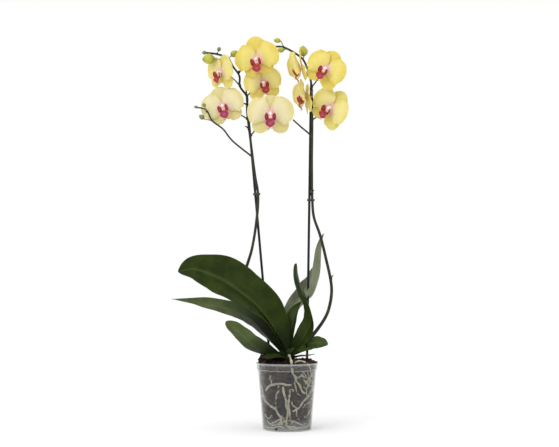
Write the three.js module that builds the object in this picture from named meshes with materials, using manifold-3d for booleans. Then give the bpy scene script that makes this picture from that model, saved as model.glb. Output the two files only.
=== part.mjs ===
// A moth orchid in a clear plastic pot: two flower spikes tied to stakes, nine open flowers, ten buds,
// nine leaves, and roots that press on the inside of the pot wall. Millimetres, +Z up, +Y to the back.
// The origin is the centre of the pot's flat base.
import * as THREE from "three";
import { mergeVertices } from "three/addons/utils/BufferGeometryUtils.js";
import Module from "manifold-3d";

const wasm = await Module();
wasm.setup();

const v3 = (x, y, z) => new THREE.Vector3(x, y, z);
const points = (list) => list.map((p) => v3(...p));
const lerp = THREE.MathUtils.lerp;
const radians = THREE.MathUtils.degToRad;

// Driving dimensions
const GAP = 0.35; // kept between pieces that touch
const POT_HEIGHT = 128;
const POT_FOOT_RADIUS = 47;
const POT_NECK_RADIUS = 56.5; // wall just under the ledge
const POT_COLLAR_RADIUS = 58.4; // above the ledge
const POT_RIM_RADIUS = 60;
const POT_NECK_Z = 114;
const POT_CORNER = 2.5;
const POT_WALL = 1.2;
const DRAIN_RADIUS = 3;
const DRAIN_COUNT = 4;
const BARK_TOP = 120; // height of the substrate where it meets the collar
const BARK_SETBACK = 1; // between the substrate and the wall, so that the roots' grooves stay open
const ROOT_RADIUS = 2.1;
const ROOT_SETBACK = 0.6; // between a root and the wall it lies along
const STAKE_RADIUS = 2.4;
const STAKE_FOOT_Z = 16;
const PEDICEL_RADIUS = 1.3;
const PEDICEL_REACH = 5.6; // behind a flower's centre, where its pedicel ends
const SEPAL_LENGTH = 43;
const SEPAL_BREADTH = 34;
const LATERAL_ANGLE = 47; // of the two lower sepals from straight down
const PETAL_LENGTH = 45;
const PETAL_BREADTH = 52;
const PETAL_ANGLE = 20; // above the horizontal
const BUD_SIDES = 8;
const ROUND = 36; // sides of the pot

const COLOUR = {
  pot: [0xd9d9d4, 0.25],
  bark: [0x4a3328, 0.9],
  root: [0x9a9a80, 0.6],
  crown: [0x38411d, 0.5],
  leaf: [0x303b1a, 0.35],
  spike: [0x2c2d20, 0.5],
  stake: [0x1c1d1a, 0.4],
  clip: [0x2a2b26, 0.4],
  petal: [0xeedc82, 0.5],
  sepal: [0xe9d878, 0.5],
  lip: [0xa8324a, 0.4],
  bud: [0xaea53a, 0.5],
  smallBud: [0x4c5130, 0.5],
};

const orchid = new THREE.Group();

function place(name, geometry, colour, parent = orchid) {
  const [color, roughness] = COLOUR[colour];
  const material = new THREE.MeshStandardMaterial({
    color,
    roughness,
    metalness: 0,
    transparent: colour === "pot",
    opacity: colour === "pot" ? 0.35 : 1,
  });
  const mesh = new THREE.Mesh(geometry, material);
  mesh.name = name;
  parent.add(mesh);
  return mesh;
}

// Solids: a closed geometry as a manifold-3d solid, and back.
function solid(geometry) {
  const bare = geometry.clone();
  bare.deleteAttribute("normal");
  bare.deleteAttribute("uv");
  const merged = mergeVertices(bare, 1e-4);
  const index = merged.index.array;
  const triVerts = [];
  for (let i = 0; i < index.length; i += 3) {
    const [a, b, c] = index.slice(i, i + 3);
    if (a !== b && b !== c && c !== a) triVerts.push(a, b, c);
  }
  const made = new wasm.Manifold(
    new wasm.Mesh({
      numProp: 3,
      vertProperties: new Float32Array(merged.attributes.position.array),
      triVerts: new Uint32Array(triVerts),
    }),
  );
  return made;
}

function geometryOf(body) {
  const { numProp, numVert, vertProperties, triVerts } = body.getMesh();
  const position = new Float32Array(numVert * 3);
  for (let i = 0; i < numVert; i++) {
    position.set(vertProperties.subarray(i * numProp, i * numProp + 3), i * 3);
  }
  const geometry = new THREE.BufferGeometry();
  geometry.setAttribute("position", new THREE.BufferAttribute(position, 3));
  geometry.setIndex(new THREE.BufferAttribute(triVerts, 1));
  geometry.computeVertexNormals();
  return geometry;
}

const join = (geometries) => geometries.map(solid).reduce((a, b) => a.add(b));

function cut(body, cutters) {
  const rest = cutters.reduce((kept, cutter) => kept.subtract(cutter), body);
  return rest.decompose().sort((a, b) => b.volume() - a.volume())[0];
}

// A closed skin over rings of points, with a flat cap on each end.
function loft(rings) {
  const sides = rings[0].length;
  const centre = (ring) =>
    ring.reduce((sum, p) => sum.add(p), v3(0, 0, 0)).divideScalar(sides);
  const all = [...rings.flat(), centre(rings[0]), centre(rings.at(-1))];
  const index = [];
  for (let i = 0; i < rings.length - 1; i++) {
    for (let j = 0; j < sides; j++) {
      const a = i * sides + j;
      const b = i * sides + ((j + 1) % sides);
      index.push(a, b, b + sides, a, b + sides, a + sides);
    }
  }
  const last = (rings.length - 1) * sides;
  for (let j = 0; j < sides; j++) {
    const k = (j + 1) % sides;
    index.push(all.length - 2, k, j);
    index.push(all.length - 1, last + j, last + k);
  }
  const volume = index.reduce((sum, _, i) => {
    if (i % 3) return sum;
    const [a, b, c] = index.slice(i, i + 3).map((k) => all[k]);
    return sum + a.dot(v3(0, 0, 0).crossVectors(b, c));
  }, 0);
  if (volume < 0) index.reverse();
  const geometry = new THREE.BufferGeometry().setFromPoints(all);
  geometry.setIndex(index);
  geometry.computeVertexNormals();
  return geometry;
}

const curveOf = (list) => new THREE.CatmullRomCurve3(list, false, "centripetal");

// A round tube whose radius follows a list of values spread evenly along it.
function tube(list, radii, steps, sides = 7) {
  const curve = curveOf(list);
  const frames = curve.computeFrenetFrames(steps);
  const rings = [];
  for (let i = 0; i <= steps; i++) {
    const at = (i / steps) * (radii.length - 1);
    const low = Math.min(Math.floor(at), radii.length - 2);
    const radius = lerp(radii[low], radii[low + 1], at - low);
    const centre = curve.getPointAt(i / steps);
    const ring = [];
    for (let j = 0; j < sides; j++) {
      const angle = (j / sides) * 2 * Math.PI;
      const p = centre.clone();
      p.addScaledVector(frames.normals[i], radius * Math.cos(angle));
      p.addScaledVector(frames.binormals[i], radius * Math.sin(angle));
      ring.push(p);
    }
    rings.push(ring);
  }
  return loft(rings);
}

// The share of a blade's full width at t: it widens from its base to the peak, then rounds off.
function outline(base, peak, blunt) {
  return (t) => {
    if (t < peak) return base + (1 - base) * Math.sin((Math.PI / 2) * (t / peak));
    return Math.max(1 - ((t - peak) / (1.02 - peak)) ** 2, 0) ** blunt;
  };
}

// A thin blade along a spine. Its upper side faces `up`, and its halves rise by `fold` degrees.
function blade({ spine, up, width, shape, fold, thick, rows, columns }) {
  const curve = curveOf(spine);
  const rings = [];
  for (let i = 0; i <= rows; i++) {
    const t = i / rows;
    const centre = curve.getPointAt(t);
    const along = curve.getTangentAt(t);
    const at = t * (up.length - 1);
    const low = Math.min(Math.floor(at), up.length - 2);
    const normal = up[low].clone().lerp(up[low + 1], at - low);
    normal.addScaledVector(along, -normal.dot(along)).normalize();
    const side = v3(0, 0, 0).crossVectors(along, normal);
    const half = (width / 2) * shape(t);
    const angle = radians(lerp(fold[0], fold[1], Math.min(1, t / 0.5)));
    const skin = (face, s) => {
      const p = centre.clone();
      p.addScaledVector(side, half * s * Math.cos(angle));
      p.addScaledVector(normal, half * Math.abs(s) * Math.sin(angle));
      return p.addScaledVector(normal, face * thick * (0.5 - 0.3 * Math.abs(s)));
    };
    const across = [];
    for (let j = 0; j <= columns; j++) across.push((2 * j) / columns - 1);
    rings.push([
      ...across.map((s) => skin(1, s)),
      ...across.reverse().map((s) => skin(-1, s)),
    ]);
  }
  return loft(rings);
}

// Pot
const wallRadius = (z) =>
  lerp(
    POT_FOOT_RADIUS,
    POT_NECK_RADIUS,
    THREE.MathUtils.clamp((z - POT_CORNER) / (POT_NECK_Z - POT_CORNER), 0, 1),
  );

function makePot() {
  const collarInside = POT_COLLAR_RADIUS - POT_WALL;
  const neckInside = POT_NECK_RADIUS - POT_WALL;
  const profile = [
    [0, 0],
    [POT_FOOT_RADIUS - POT_CORNER, 0],
    [POT_FOOT_RADIUS - 0.7, 0.7],
    [POT_FOOT_RADIUS, POT_CORNER],
    [POT_NECK_RADIUS, POT_NECK_Z],
    [POT_COLLAR_RADIUS, POT_NECK_Z + 1.5],
    [POT_COLLAR_RADIUS + 0.6, POT_HEIGHT - 2.5],
    [POT_RIM_RADIUS, POT_HEIGHT - 2],
    [POT_RIM_RADIUS, POT_HEIGHT],
    [collarInside + 0.6, POT_HEIGHT],
    [collarInside, POT_NECK_Z + 2.6],
    [neckInside, POT_NECK_Z + 0.4],
    [POT_FOOT_RADIUS - POT_WALL, POT_CORNER],
    [POT_FOOT_RADIUS - POT_CORNER - 0.6, POT_WALL],
    [0, POT_WALL],
  ];
  const shell = new THREE.LatheGeometry(
    profile.map(([r, z]) => new THREE.Vector2(r, z)),
    ROUND,
  );
  shell.rotateX(Math.PI / 2);
  const drains = [];
  for (let i = 0; i < DRAIN_COUNT; i++) {
    const angle = radians(-27 + (360 / DRAIN_COUNT) * i);
    const drain = new THREE.CylinderGeometry(DRAIN_RADIUS, DRAIN_RADIUS, 12, 12);
    drain.translate(0, -POT_FOOT_RADIUS, 0).rotateZ(angle);
    drain.translate(0, 0, DRAIN_RADIUS + 2.2);
    drains.push(solid(drain));
  }
  return geometryOf(cut(solid(shell), drains));
}

// Roots. Those on the wall are laid by their angle from the front and their height.
function wallPoint([degrees, z]) {
  const radius = wallRadius(z) - POT_WALL - ROOT_SETBACK - ROOT_RADIUS;
  const angle = radians(degrees);
  return v3(radius * Math.sin(angle), -radius * Math.cos(angle), z);
}

const ROOTS = {
  root_aerial: [
    ...points([
      [3, -22, 143],
      [5, -37, 142],
      [8, -48, 132],
    ]),
    ...[[12, 110], [20, 96], [31, 83], [42, 72]].map(wallPoint),
  ],
  root_arc: [[-54, 77], [-42, 86], [-25, 90], [-9, 91], [8, 89]].map(wallPoint),
  root_centre: [[-9, 84], [-5, 67], [-2, 49], [1, 32], [-2, 13]].map(wallPoint),
  root_left: [[-74, 66], [-58, 55], [-42, 48], [-27, 41], [-17, 29], [-14, 14]].map(wallPoint),
  root_right: [[78, 82], [60, 70], [46, 60], [32, 48], [14, 39]].map(wallPoint),
};

const rootTube = (list, radius) =>
  tube(list, [radius, radius, radius * 0.85], list.length * 2, 6);

// Crown: the short stem that the leaves clasp.
const CROWN_SPINE = points([[2, -2, 112], [2, -4, 140], [3, -6, 158], [4, -6, 168]]);
const crownTube = (extra) =>
  tube(CROWN_SPINE, [9 + extra, 12 + extra, 11 + extra, 6 + extra], 6, 10);

// Stakes: straight rods, pointed at the top.
const STAKES = {
  stake_left: points([[-33, 20, 128], [-81, 20, 665]]),
  stake_right: points([[39, 10, 128], [48, 10, 687]]),
};

function stakeLine([at, top]) {
  const line = top.clone().sub(at).normalize();
  const foot = at.clone().addScaledVector(line, (STAKE_FOOT_Z - at.z) / line.z);
  return [foot, top];
}

function stakeTube(ends, radius) {
  const [foot, top] = stakeLine(ends);
  const shoulder = top.clone().lerp(foot, 0.02);
  const shaft = tube([foot, shoulder], [radius, radius], 1, 8);
  const point = tube([shoulder, top], [radius, 0.5], 1, 8);
  return join([shaft, point]);
}

// Leaves. Each has a spine from the crown to the tip, its upper side's direction and its full width.
const LEAVES = {
  leaf_broad: {
    spine: [[-2, -8, 146], [-33, -14, 206], [-62, -20, 242], [-91, -28, 265], [-119, -36, 285],
      [-151, -46, 300], [-180, -54, 308], [-207, -60, 303]],
    up: [[0.5, -0.6, 0.4], [0.6, -0.6, 0.5], [0.4, -0.7, 0.6], [0.1, -0.9, 0.4], [0, -1, 0.2]],
    width: 104, shape: outline(0.25, 0.5, 0.68), fold: [42, 24],
  },
  leaf_under: {
    spine: [[-6, -8, 142], [-36, -14, 178], [-73, -18, 216], [-116, -20, 234], [-153, -22, 242],
      [-190, -24, 248], [-222, -26, 251]],
    up: [[0, 0.2, 1], [0.2, 0.6, 0.8], [0.1, 0.6, 0.8]],
    width: 58, shape: outline(0.35, 0.35, 1.2), fold: [25, 4],
  },
  leaf_front: {
    spine: [[-10, -16, 134], [-41, -36, 150], [-65, -52, 166], [-82, -66, 182], [-99, -78, 198],
      [-114, -86, 210]],
    up: [[0.3, 0.6, 0.8], [0.5, 0.8, 0.4], [0.5, 0.8, 0.3]],
    width: 48, shape: outline(0.4, 0.5, 0.5), fold: [20, 6],
  },
  leaf_back: {
    spine: [[0, 4, 142], [-1, 13, 178], [5, 23, 214], [17, 34, 244], [32, 46, 266], [44, 56, 283],
      [51, 62, 298], [55, 66, 316]],
    up: [[-0.4, 0.8, 0.4], [-0.4, 0.7, 0.6], [-0.4, 0.6, 0.7]],
    width: 42, shape: outline(0.4, 0.6, 0.7), fold: [20, 10],
  },
  leaf_tall: {
    spine: [[4, 2, 146], [12, 5, 208], [22, 8, 231], [35, 12, 246], [49, 16, 260], [57, 20, 280],
      [62, 24, 312], [64, 28, 345], [69, 30, 368], [73, 30, 380]],
    up: [[-0.5, -0.8, 0.3], [-0.6, -0.7, 0.4], [-0.9, 0.3, 0.2], [-0.8, 0.6, 0.1], [-0.8, 0.6, 0.1]],
    width: 38, shape: outline(0.5, 0.35, 0.6), fold: [40, 16],
  },
  leaf_curled: {
    spine: [[8, -8, 146], [32, -26, 178], [45, -38, 206], [41, -46, 236], [29, -50, 264],
      [20, -50, 290], [17, -50, 319]],
    up: [[-0.2, -0.7, 0.7], [-0.5, -0.8, 0.2], [-0.9, -0.3, 0], [-1, -0.3, 0], [-1, -0.4, 0]],
    width: 42, shape: outline(0.5, 0.4, 0.35), fold: [40, 12],
  },
  leaf_short: {
    spine: [[8, 2, 142], [34, 14, 158], [58, 22, 165], [80, 28, 165]],
    up: [[0, -0.6, 0.8], [0, -0.6, 0.8]],
    width: 38, shape: outline(0.5, 0.6, 0.36), fold: [30, 8],
  },
  leaf_sliver: {
    spine: [[10, -12, 138], [24, -22, 142], [38, -28, 143], [53, -32, 146]],
    up: [[0, -0.1, 1], [0, -0.1, 1]],
    width: 14, shape: outline(0.6, 0.3, 0.8), fold: [25, 8],
  },
  leaf_rim: {
    spine: [[-2, -18, 139], [-20, -34, 145], [-36, -42, 142], [-47, -44, 141]],
    up: [[0.1, -0.6, 0.8], [0.1, -0.6, 0.8]],
    width: 20, shape: outline(0.6, 0.4, 0.6), fold: [20, 8],
  },
};
const LEAF_THICKNESS = 2.2;

function leafBlade(leaf, extra) {
  return blade({
    ...leaf,
    spine: points(leaf.spine),
    up: points(leaf.up),
    width: leaf.width + 2 * extra,
    thick: LEAF_THICKNESS + 2 * extra,
    rows: leaf.spine.length * 2,
    columns: 2,
  });
}

// Flower spikes. Each lists its stem, its side branch, and small bracts on the stem.
const SPIKES = {
  spike_left: {
    stem: [[-4, 12, 140], [-24, 26, 172], [-40, 30, 183], [-60, 32, 195], [-87, 32, 213], [-100, 30, 251],
      [-79, 25, 316], [-69, 20, 349], [-59, 12, 412], [-57, 13, 457],
      [-63, 14, 495], [-72, 14, 564], [-79, 14, 624], [-79, 12, 650], [-93, 10, 671],
      [-94, 8, 691], [-107, 5, 710], [-116, 2, 725], [-138, 0, 733], [-158, -3, 735]],
    branch: [[-70, 14, 532], [-108, -8, 561], [-125, -24, 581], [-145, -29, 596], [-156, -29, 616],
      [-163, -28, 620], [-173, -27, 622]],
    bracts: [[-59, 13, 468, -8, -2, 4], [-75, 14, 585, -8, -2, 4], [-78, 14, 632, -9, -2, 3],
      [-101, 29, 262, -5, -1, 8]],
  },
  spike_right: {
    stem: [[10, 10, 142], [35, 19, 165], [54, 21, 184], [75, 18, 214], [83, 20, 234],
      [88, 22, 271], [76, 20, 334], [65, 17, 377], [53, 14, 412], [50, 12, 445],
      [49, 4, 496], [49.5, 3, 563], [50, 3, 603], [49, 3, 665], [45, 5, 692], [37, 4, 714],
      [32, 3, 723], [22, 0, 731], [8, -4, 739], [-10, -8, 746], [-27, -12, 745]],
    branch: [[49.5, 3, 566], [46, 0, 572], [28, 6, 589], [13, 14, 604]],
    bracts: [[50, 2, 626, -6, -6, 5], [50, 11, 458, 4, -5, 7], [87, 21, 290, 5, -1, 8]],
  },
};
const STEM_RADII = [4.2, 3.4, 3, 2.9, 2.7, 2.5, 2.4, 2.2, 2.1, 1.9];
const BRANCH_RADII = [1.8, 1.5];

// Flowers: centre, yaw (0 faces the front, negative turns left), nod, roll, size, how far the petal
// tips come forward, and where the pedicel leaves the stem. Lengths scale the top, left and right sepals.
const LEFT = "spike_left";
const RIGHT = "spike_right";
const FLOWERS = {
  flower_1: {
    at: [-58, -42, 712], turn: [-12, 4, -8], lengths: [1.1, 0.8, 0.8],
    size: 1, cup: -2, spike: LEFT, from: [-95, 8, 699],
  },
  flower_2: {
    at: [-47, -14, 672], turn: [10, 4, -14],
    size: 0.86, cup: 2, spike: LEFT, from: [-79, 12, 652],
  },
  flower_3: {
    at: [-128, -22, 691], turn: [-45, 2, 8],
    size: 0.85, cup: 6, spike: LEFT, from: [-93, 10, 672],
  },
  flower_4: {
    at: [-124, -21, 624], turn: [-8, 0, -18], lengths: [1, 0.85, 0.9],
    size: 0.98, cup: 2, spike: LEFT, from: [-79, 14, 607],
  },
  flower_5: {
    at: [-32, -42, 606], turn: [0, 4, 0], lengths: [0.86, 1, 1],
    size: 1.03, cup: 0, spike: LEFT, from: [-71, 14, 574],
  },
  flower_6: {
    at: [74, -54, 691], turn: [-14, 0, 33],
    size: 0.93, cup: 2, spike: RIGHT, from: [49, 3, 668],
  },
  flower_7: {
    at: [84, -30, 619], turn: [-28, 0, 42],
    size: 0.96, cup: 8, spike: RIGHT, from: [50, 3, 603],
  },
  flower_8: {
    at: [27, -22, 701], turn: [-88, 12, 0], lengths: [1, 0.75, 0.75],
    size: 0.95, cup: 22, spike: RIGHT, from: [44, 5, 694],
  },
  flower_9: {
    at: [37, -12, 646], turn: [-80, 4, 0], lengths: [0.6, 1, 1],
    size: 0.95, cup: 20, spike: RIGHT, from: [49, 3, 660],
  },
};

// Buds: centre, the way the tip points, length, breadth, spike and where the stalk leaves the stem.
const BUDS = {
  bud_left_1: { at: [-104, -5, 733], tip: [0.75, -0.2, 0.55], size: [16, 14], from: [-116, 2, 724] },
  bud_left_2: { at: [-134, -1, 743], tip: [0.3, 0, 1], size: [9, 8], from: [-138, 0, 734] },
  bud_left_3: { at: [-153, -24, 718], tip: [-1, -0.1, -0.1], size: [25, 21], from: [-113, 3, 715] },
  bud_left_4: { at: [-163, -4, 735], tip: [-1, -0.1, -0.15], size: [9, 8], from: null },
  bud_branch_1: { at: [-161, -33, 626], tip: [-0.5, -0.3, 0.8], size: [8, 7], from: [-156, -29, 614] },
  bud_branch_2: { at: [-165, -36, 602], tip: [-0.8, -0.1, 0.6], size: [12, 10], from: [-145, -29, 596] },
  bud_branch_3: { at: [-177, -27, 623], tip: [-1, 0, 0.15], size: [8, 6], from: null },
  bud_right_1: { at: [32, -9, 737], tip: [-0.1, -0.2, 1], size: [21, 18], from: [33, 3, 721] },
  bud_right_2: { at: [-19, -14, 757], tip: [-1, -0.1, 0.1], size: [14, 10], from: [-6, -8, 745] },
  bud_right_3: { at: [-12, -15, 738], tip: [-1, -0.1, -0.2], size: [15, 11], from: [4, -5, 741] },
};

// A flower's own frame: +Z is the way it faces and +Y is its top sepal's side.
function facing([yaw, nod, roll]) {
  const a = radians(yaw);
  const b = radians(nod);
  const out = v3(Math.sin(a) * Math.cos(b), -Math.cos(a) * Math.cos(b), -Math.sin(b));
  const right = v3(Math.cos(a), Math.sin(a), 0);
  const up = v3(0, 0, 0).crossVectors(out, right);
  const turned = new THREE.Matrix4().makeBasis(right, up, out);
  turned.multiply(new THREE.Matrix4().makeRotationZ(-radians(roll)));
  return new THREE.Quaternion().setFromRotationMatrix(turned);
}

const spoke = (degrees, reach, z) =>
  v3(Math.cos(radians(degrees)) * reach, Math.sin(radians(degrees)) * reach, z);

const AHEAD = points([[0, 0, 1], [0, 0, 1]]);

function makeSepals(lengths) {
  const parts = [90, -90 - LATERAL_ANGLE, -90 + LATERAL_ANGLE].map((angle, i) => {
    const length = SEPAL_LENGTH * lengths[i];
    return blade({
      spine: [spoke(angle, 0, -2.2), spoke(angle, length * 0.5, -2.4), spoke(angle, length, -5)],
      up: AHEAD, width: SEPAL_BREADTH, shape: outline(0.35, 0.52, 0.6), fold: [6, 4],
      thick: 1.4, rows: 4, columns: 2,
    });
  });
  parts.push(tube(points([[0, 0, -5.2], [0, 0, -1.4]]), [2.2, 4], 1, 6));
  return geometryOf(join(parts));
}

function makePetals(cup) {
  const reach = Math.sqrt(PETAL_LENGTH ** 2 - cup ** 2);
  const parts = [PETAL_ANGLE, 180 - PETAL_ANGLE].map((angle) =>
    blade({
      spine: [spoke(angle, 0, 0.2), spoke(angle, reach * 0.5, 3 + cup * 0.3), spoke(angle, reach, cup)],
      up: AHEAD, width: PETAL_BREADTH, shape: outline(0.2, 0.52, 0.5), fold: [0, 0],
      thick: 1.2, rows: 6, columns: 2,
    }),
  );
  parts.push(tube(points([[0, 0, -0.6], [0, 0, 1.4]]), [3.4, 3.4], 1, 6));
  return geometryOf(join(parts));
}

function makeLip() {
  const column = tube(points([[0, 0, 3], [0, 1.5, 7], [0, 2.5, 11]]), [3.4, 3.6, 2.2], 2, 6);
  const middle = blade({
    spine: points([[0, -1, 4.5], [0, -7, 8], [0, -14, 11], [0, -20, 10]]),
    up: points([[0, 1, 0.5], [0, 0.4, 1]]), width: 15, shape: outline(0.5, 0.4, 0.8),
    fold: [30, 10], thick: 1.6, rows: 3, columns: 2,
  });
  const wings = [-1, 1].map((side) =>
    blade({
      spine: points([[side * 1.5, -2, 5.5], [side * 7, -4, 8], [side * 10.5, 1, 11], [side * 10, 7, 12]]),
      up: points([[-side, 1, 0.2], [-side, 0, 0.2]]), width: 11, shape: outline(0.5, 0.6, 0.5),
      fold: [10, 10], thick: 1.5, rows: 2, columns: 2,
    }),
  );
  return geometryOf(join([column, middle, ...wings]));
}

const LIP = makeLip();

function makeFlower(name, { at, turn, size, cup, lengths = [1, 1, 1] }) {
  const flower = new THREE.Group();
  flower.position.set(...at);
  flower.quaternion.copy(facing(turn));
  flower.scale.setScalar(size);
  place(`${name}_sepals`, makeSepals(lengths), "sepal", flower);
  place(`${name}_petals`, makePetals(cup), "petal", flower);
  place(`${name}_lip`, LIP, "lip", flower);
  orchid.add(flower);
  return flower;
}

function makeBud(name, { at, tip, size }) {
  const [length, breadth] = size;
  const profile = [];
  for (let i = 0; i <= 7; i++) {
    const t = i / 7;
    const r = (breadth / 2) * Math.sin(Math.PI * t) ** 0.75 * (1.08 - 0.2 * t);
    profile.push(new THREE.Vector2(i % 7 ? r : 0, (t - 0.5) * length));
  }
  const bud = place(name, new THREE.LatheGeometry(profile, BUD_SIDES), length > 12 ? "bud" : "smallBud");
  bud.position.set(...at);
  bud.quaternion.setFromUnitVectors(v3(0, 1, 0), v3(...tip).normalize());
}

function pedicel(from, end, way) {
  const near = end.clone().addScaledVector(way, -8);
  const middle = from.clone().lerp(near, 0.5).add(v3(0, -2, 2));
  return tube([from, middle, near, end], [PEDICEL_RADIUS, PEDICEL_RADIUS], 5, 6);
}

const flowerPedicel = ({ at, turn, size, from }) => {
  const way = v3(0, 0, 1).applyQuaternion(facing(turn));
  const end = v3(...at).addScaledVector(way, -PEDICEL_REACH * size);
  return pedicel(v3(...from), end, way);
};

const budStalk = ({ at, tip, size, from }) => {
  const way = v3(...tip).normalize();
  const end = v3(...at).addScaledVector(way, -size[0] / 2 - GAP);
  return tube([v3(...from), v3(...from).lerp(end, 0.6), end], [1.2, 1], 3, 6);
};

function bract([x, y, z, ...way]) {
  const foot = v3(x, y, z);
  return tube([foot, foot.clone().add(v3(...way))], [2.4, 0.5], 1, 6);
}

function spikeParts(name, extra) {
  const { stem, branch, bracts } = SPIKES[name];
  const radii = STEM_RADII.map((r) => r + extra);
  return [
    tube(points(stem), radii, Math.round(stem.length * 1.5), 6),
    tube(points(branch), BRANCH_RADII.map((r) => r + extra), branch.length, 6),
    ...bracts.map(bract),
  ];
}

const spikeOf = (budName) => (budName.startsWith("bud_right") ? "spike_right" : "spike_left");

function makeSpike(name, cutters) {
  const stalks = [
    ...Object.values(FLOWERS).filter((f) => f.spike === name).map(flowerPedicel),
    ...Object.entries(BUDS)
      .filter(([bud, { from }]) => from && spikeOf(bud) === name)
      .map(([, bud]) => budStalk(bud)),
  ];
  place(name, geometryOf(cut(join([...spikeParts(name, 0), ...stalks]), cutters)), "spike");
}

// A clip is an oval ring round a stake and the stem beside it.
const CLIPS = {
  clip_left: { z: 457, stake: "stake_left", stem: [-57, 13, 457] },
  clip_right: { z: 445, stake: "stake_right", stem: [50, 12, 445] },
};

function makeClip(name, { z, stake, stem }) {
  const [foot, top] = stakeLine(STAKES[stake]);
  const rod = foot.clone().lerp(top, (z - foot.z) / (top.z - foot.z));
  const across = v3(...stem).sub(rod);
  const reach = across.length() / 2;
  const oval = (radius) => {
    const path = new THREE.Shape();
    path.absarc(reach, 0, radius, -Math.PI / 2, Math.PI / 2);
    path.absarc(-reach, 0, radius, Math.PI / 2, (3 * Math.PI) / 2);
    return path;
  };
  const ring = oval(4.6);
  ring.holes.push(oval(3.4));
  const band = new THREE.ExtrudeGeometry(ring, { depth: 4, bevelEnabled: false, curveSegments: 6 });
  band.translate(0, 0, -2);
  const clip = place(name, band, "clip");
  clip.position.copy(rod).addScaledVector(across, 0.5);
  clip.rotation.z = Math.atan2(across.y, across.x);
}

// Substrate: a bark-filled cone with a heap of chips on top, cut round what stands in it.
const CHIPS = [
  [-47, -20, 136, 16], [-36, -36, 131, 14], [-50, 4, 131, 14], [-24, 34, 124, 15],
  [34, 34, 123, 14], [46, -12, 123, 13], [24, -38, 124, 14], [-16, -42, 124, 13],
];

function makeBark(cutters) {
  const inside = (z) => wallRadius(z) - POT_WALL - BARK_SETBACK;
  const profile = [
    [0, POT_WALL + GAP],
    [POT_FOOT_RADIUS - POT_CORNER - 2, POT_WALL + GAP],
    [inside(POT_CORNER) - 0.4, POT_CORNER + 1.5],
    [inside(POT_NECK_Z), POT_NECK_Z],
    [inside(POT_NECK_Z) - 0.4, BARK_TOP],
    [36, BARK_TOP + 5],
    [0, BARK_TOP + 9],
  ];
  const fill = new THREE.LatheGeometry(
    profile.map(([r, z]) => new THREE.Vector2(r, z)),
    ROUND,
  );
  fill.rotateX(Math.PI / 2);
  const chips = CHIPS.map(([x, y, z, r], i) => {
    const chip = new THREE.IcosahedronGeometry(r, 0);
    chip.scale(1, 0.75, 0.5).rotateX(0.4 * Math.sin(i * 2.1)).rotateZ(i * 1.3);
    return solid(chip.translate(x * 0.9, y * 0.9, z - 3));
  });
  const heap = chips.reduce((a, b) => a.add(b), solid(fill));
  const clear = inside(POT_NECK_Z) - 0.6;
  const beyond = [[clear, POT_NECK_Z + 1], [90, POT_NECK_Z + 1], [90, 170], [clear, 170]];
  const outside = new THREE.LatheGeometry(
    [...beyond, beyond[0]].map(([r, z]) => new THREE.Vector2(r, z)),
    ROUND,
  );
  outside.rotateX(Math.PI / 2);
  return geometryOf(cut(heap, [solid(outside), ...cutters]));
}

place("pot", makePot(), "pot");
Object.entries(STAKES).forEach(([name, ends]) => {
  place(name, geometryOf(stakeTube(ends, STAKE_RADIUS)), "stake");
});
Object.entries(CLIPS).forEach(([name, clip]) => makeClip(name, clip));

const crownCutter = solid(crownTube(GAP));
place("crown", crownTube(0), "crown");

const rootCutters = Object.entries(ROOTS).map(([name, list]) => {
  place(name, geometryOf(cut(solid(rootTube(list, ROOT_RADIUS)), [crownCutter])), "root");
  return solid(rootTube(list, ROOT_RADIUS + GAP));
});
const stakeCutters = Object.values(STAKES).map((ends) => stakeTube(ends, STAKE_RADIUS + GAP));

Object.keys(SPIKES).forEach((name) => makeSpike(name, [crownCutter]));
const spikeCutters = Object.keys(SPIKES).map((name) => join(spikeParts(name, GAP).slice(0, 1)));

const leafCutters = [];
Object.entries(LEAVES).forEach(([name, leaf]) => {
  const cutters = [crownCutter, ...spikeCutters, ...stakeCutters, ...rootCutters, ...leafCutters];
  place(name, geometryOf(cut(solid(leafBlade(leaf, 0)), cutters)), "leaf");
  leafCutters.push(solid(leafBlade(leaf, GAP)));
});

place(
  "bark",
  makeBark([crownCutter, ...rootCutters, ...stakeCutters, ...spikeCutters, ...leafCutters]),
  "bark",
);
Object.entries(FLOWERS).forEach(([name, flower]) => makeFlower(name, flower));
Object.entries(BUDS).forEach(([name, bud]) => makeBud(name, bud));

export default orchid;
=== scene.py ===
"""A moth orchid in a clear pot of bark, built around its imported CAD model.

The frame is in metres, +Z up and +Y to the back. The design values and every Shape are in
millimetres, as the model's own are, until Shape.mesh() turns them into metres.
"""

import math
import random

import bmesh
import bpy
import numpy as np
from mathutils import Matrix, Vector


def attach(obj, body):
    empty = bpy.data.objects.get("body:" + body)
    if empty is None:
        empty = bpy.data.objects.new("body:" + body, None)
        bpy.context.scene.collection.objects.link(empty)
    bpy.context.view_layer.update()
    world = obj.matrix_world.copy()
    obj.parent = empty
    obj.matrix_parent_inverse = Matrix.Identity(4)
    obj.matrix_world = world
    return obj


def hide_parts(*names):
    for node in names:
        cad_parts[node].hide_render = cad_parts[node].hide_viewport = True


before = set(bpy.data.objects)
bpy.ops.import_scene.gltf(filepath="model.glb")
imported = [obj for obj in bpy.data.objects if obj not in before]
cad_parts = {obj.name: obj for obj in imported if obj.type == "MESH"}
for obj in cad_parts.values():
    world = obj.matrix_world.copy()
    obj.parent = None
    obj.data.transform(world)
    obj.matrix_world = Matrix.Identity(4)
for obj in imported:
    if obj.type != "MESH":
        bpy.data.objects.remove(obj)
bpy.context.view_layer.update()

MM = 0.001
BODY = "root"


def srgb(red, green, blue):
    """A linear colour from 0 to 255 screen values."""
    parts = []
    for value in (red, green, blue):
        share = value / 255
        parts.append(share / 12.92 if share < 0.04045 else ((share + 0.055) / 1.055) ** 2.4)
    return (*parts, 1.0)


# ---- Design values, in millimetres ----

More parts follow.
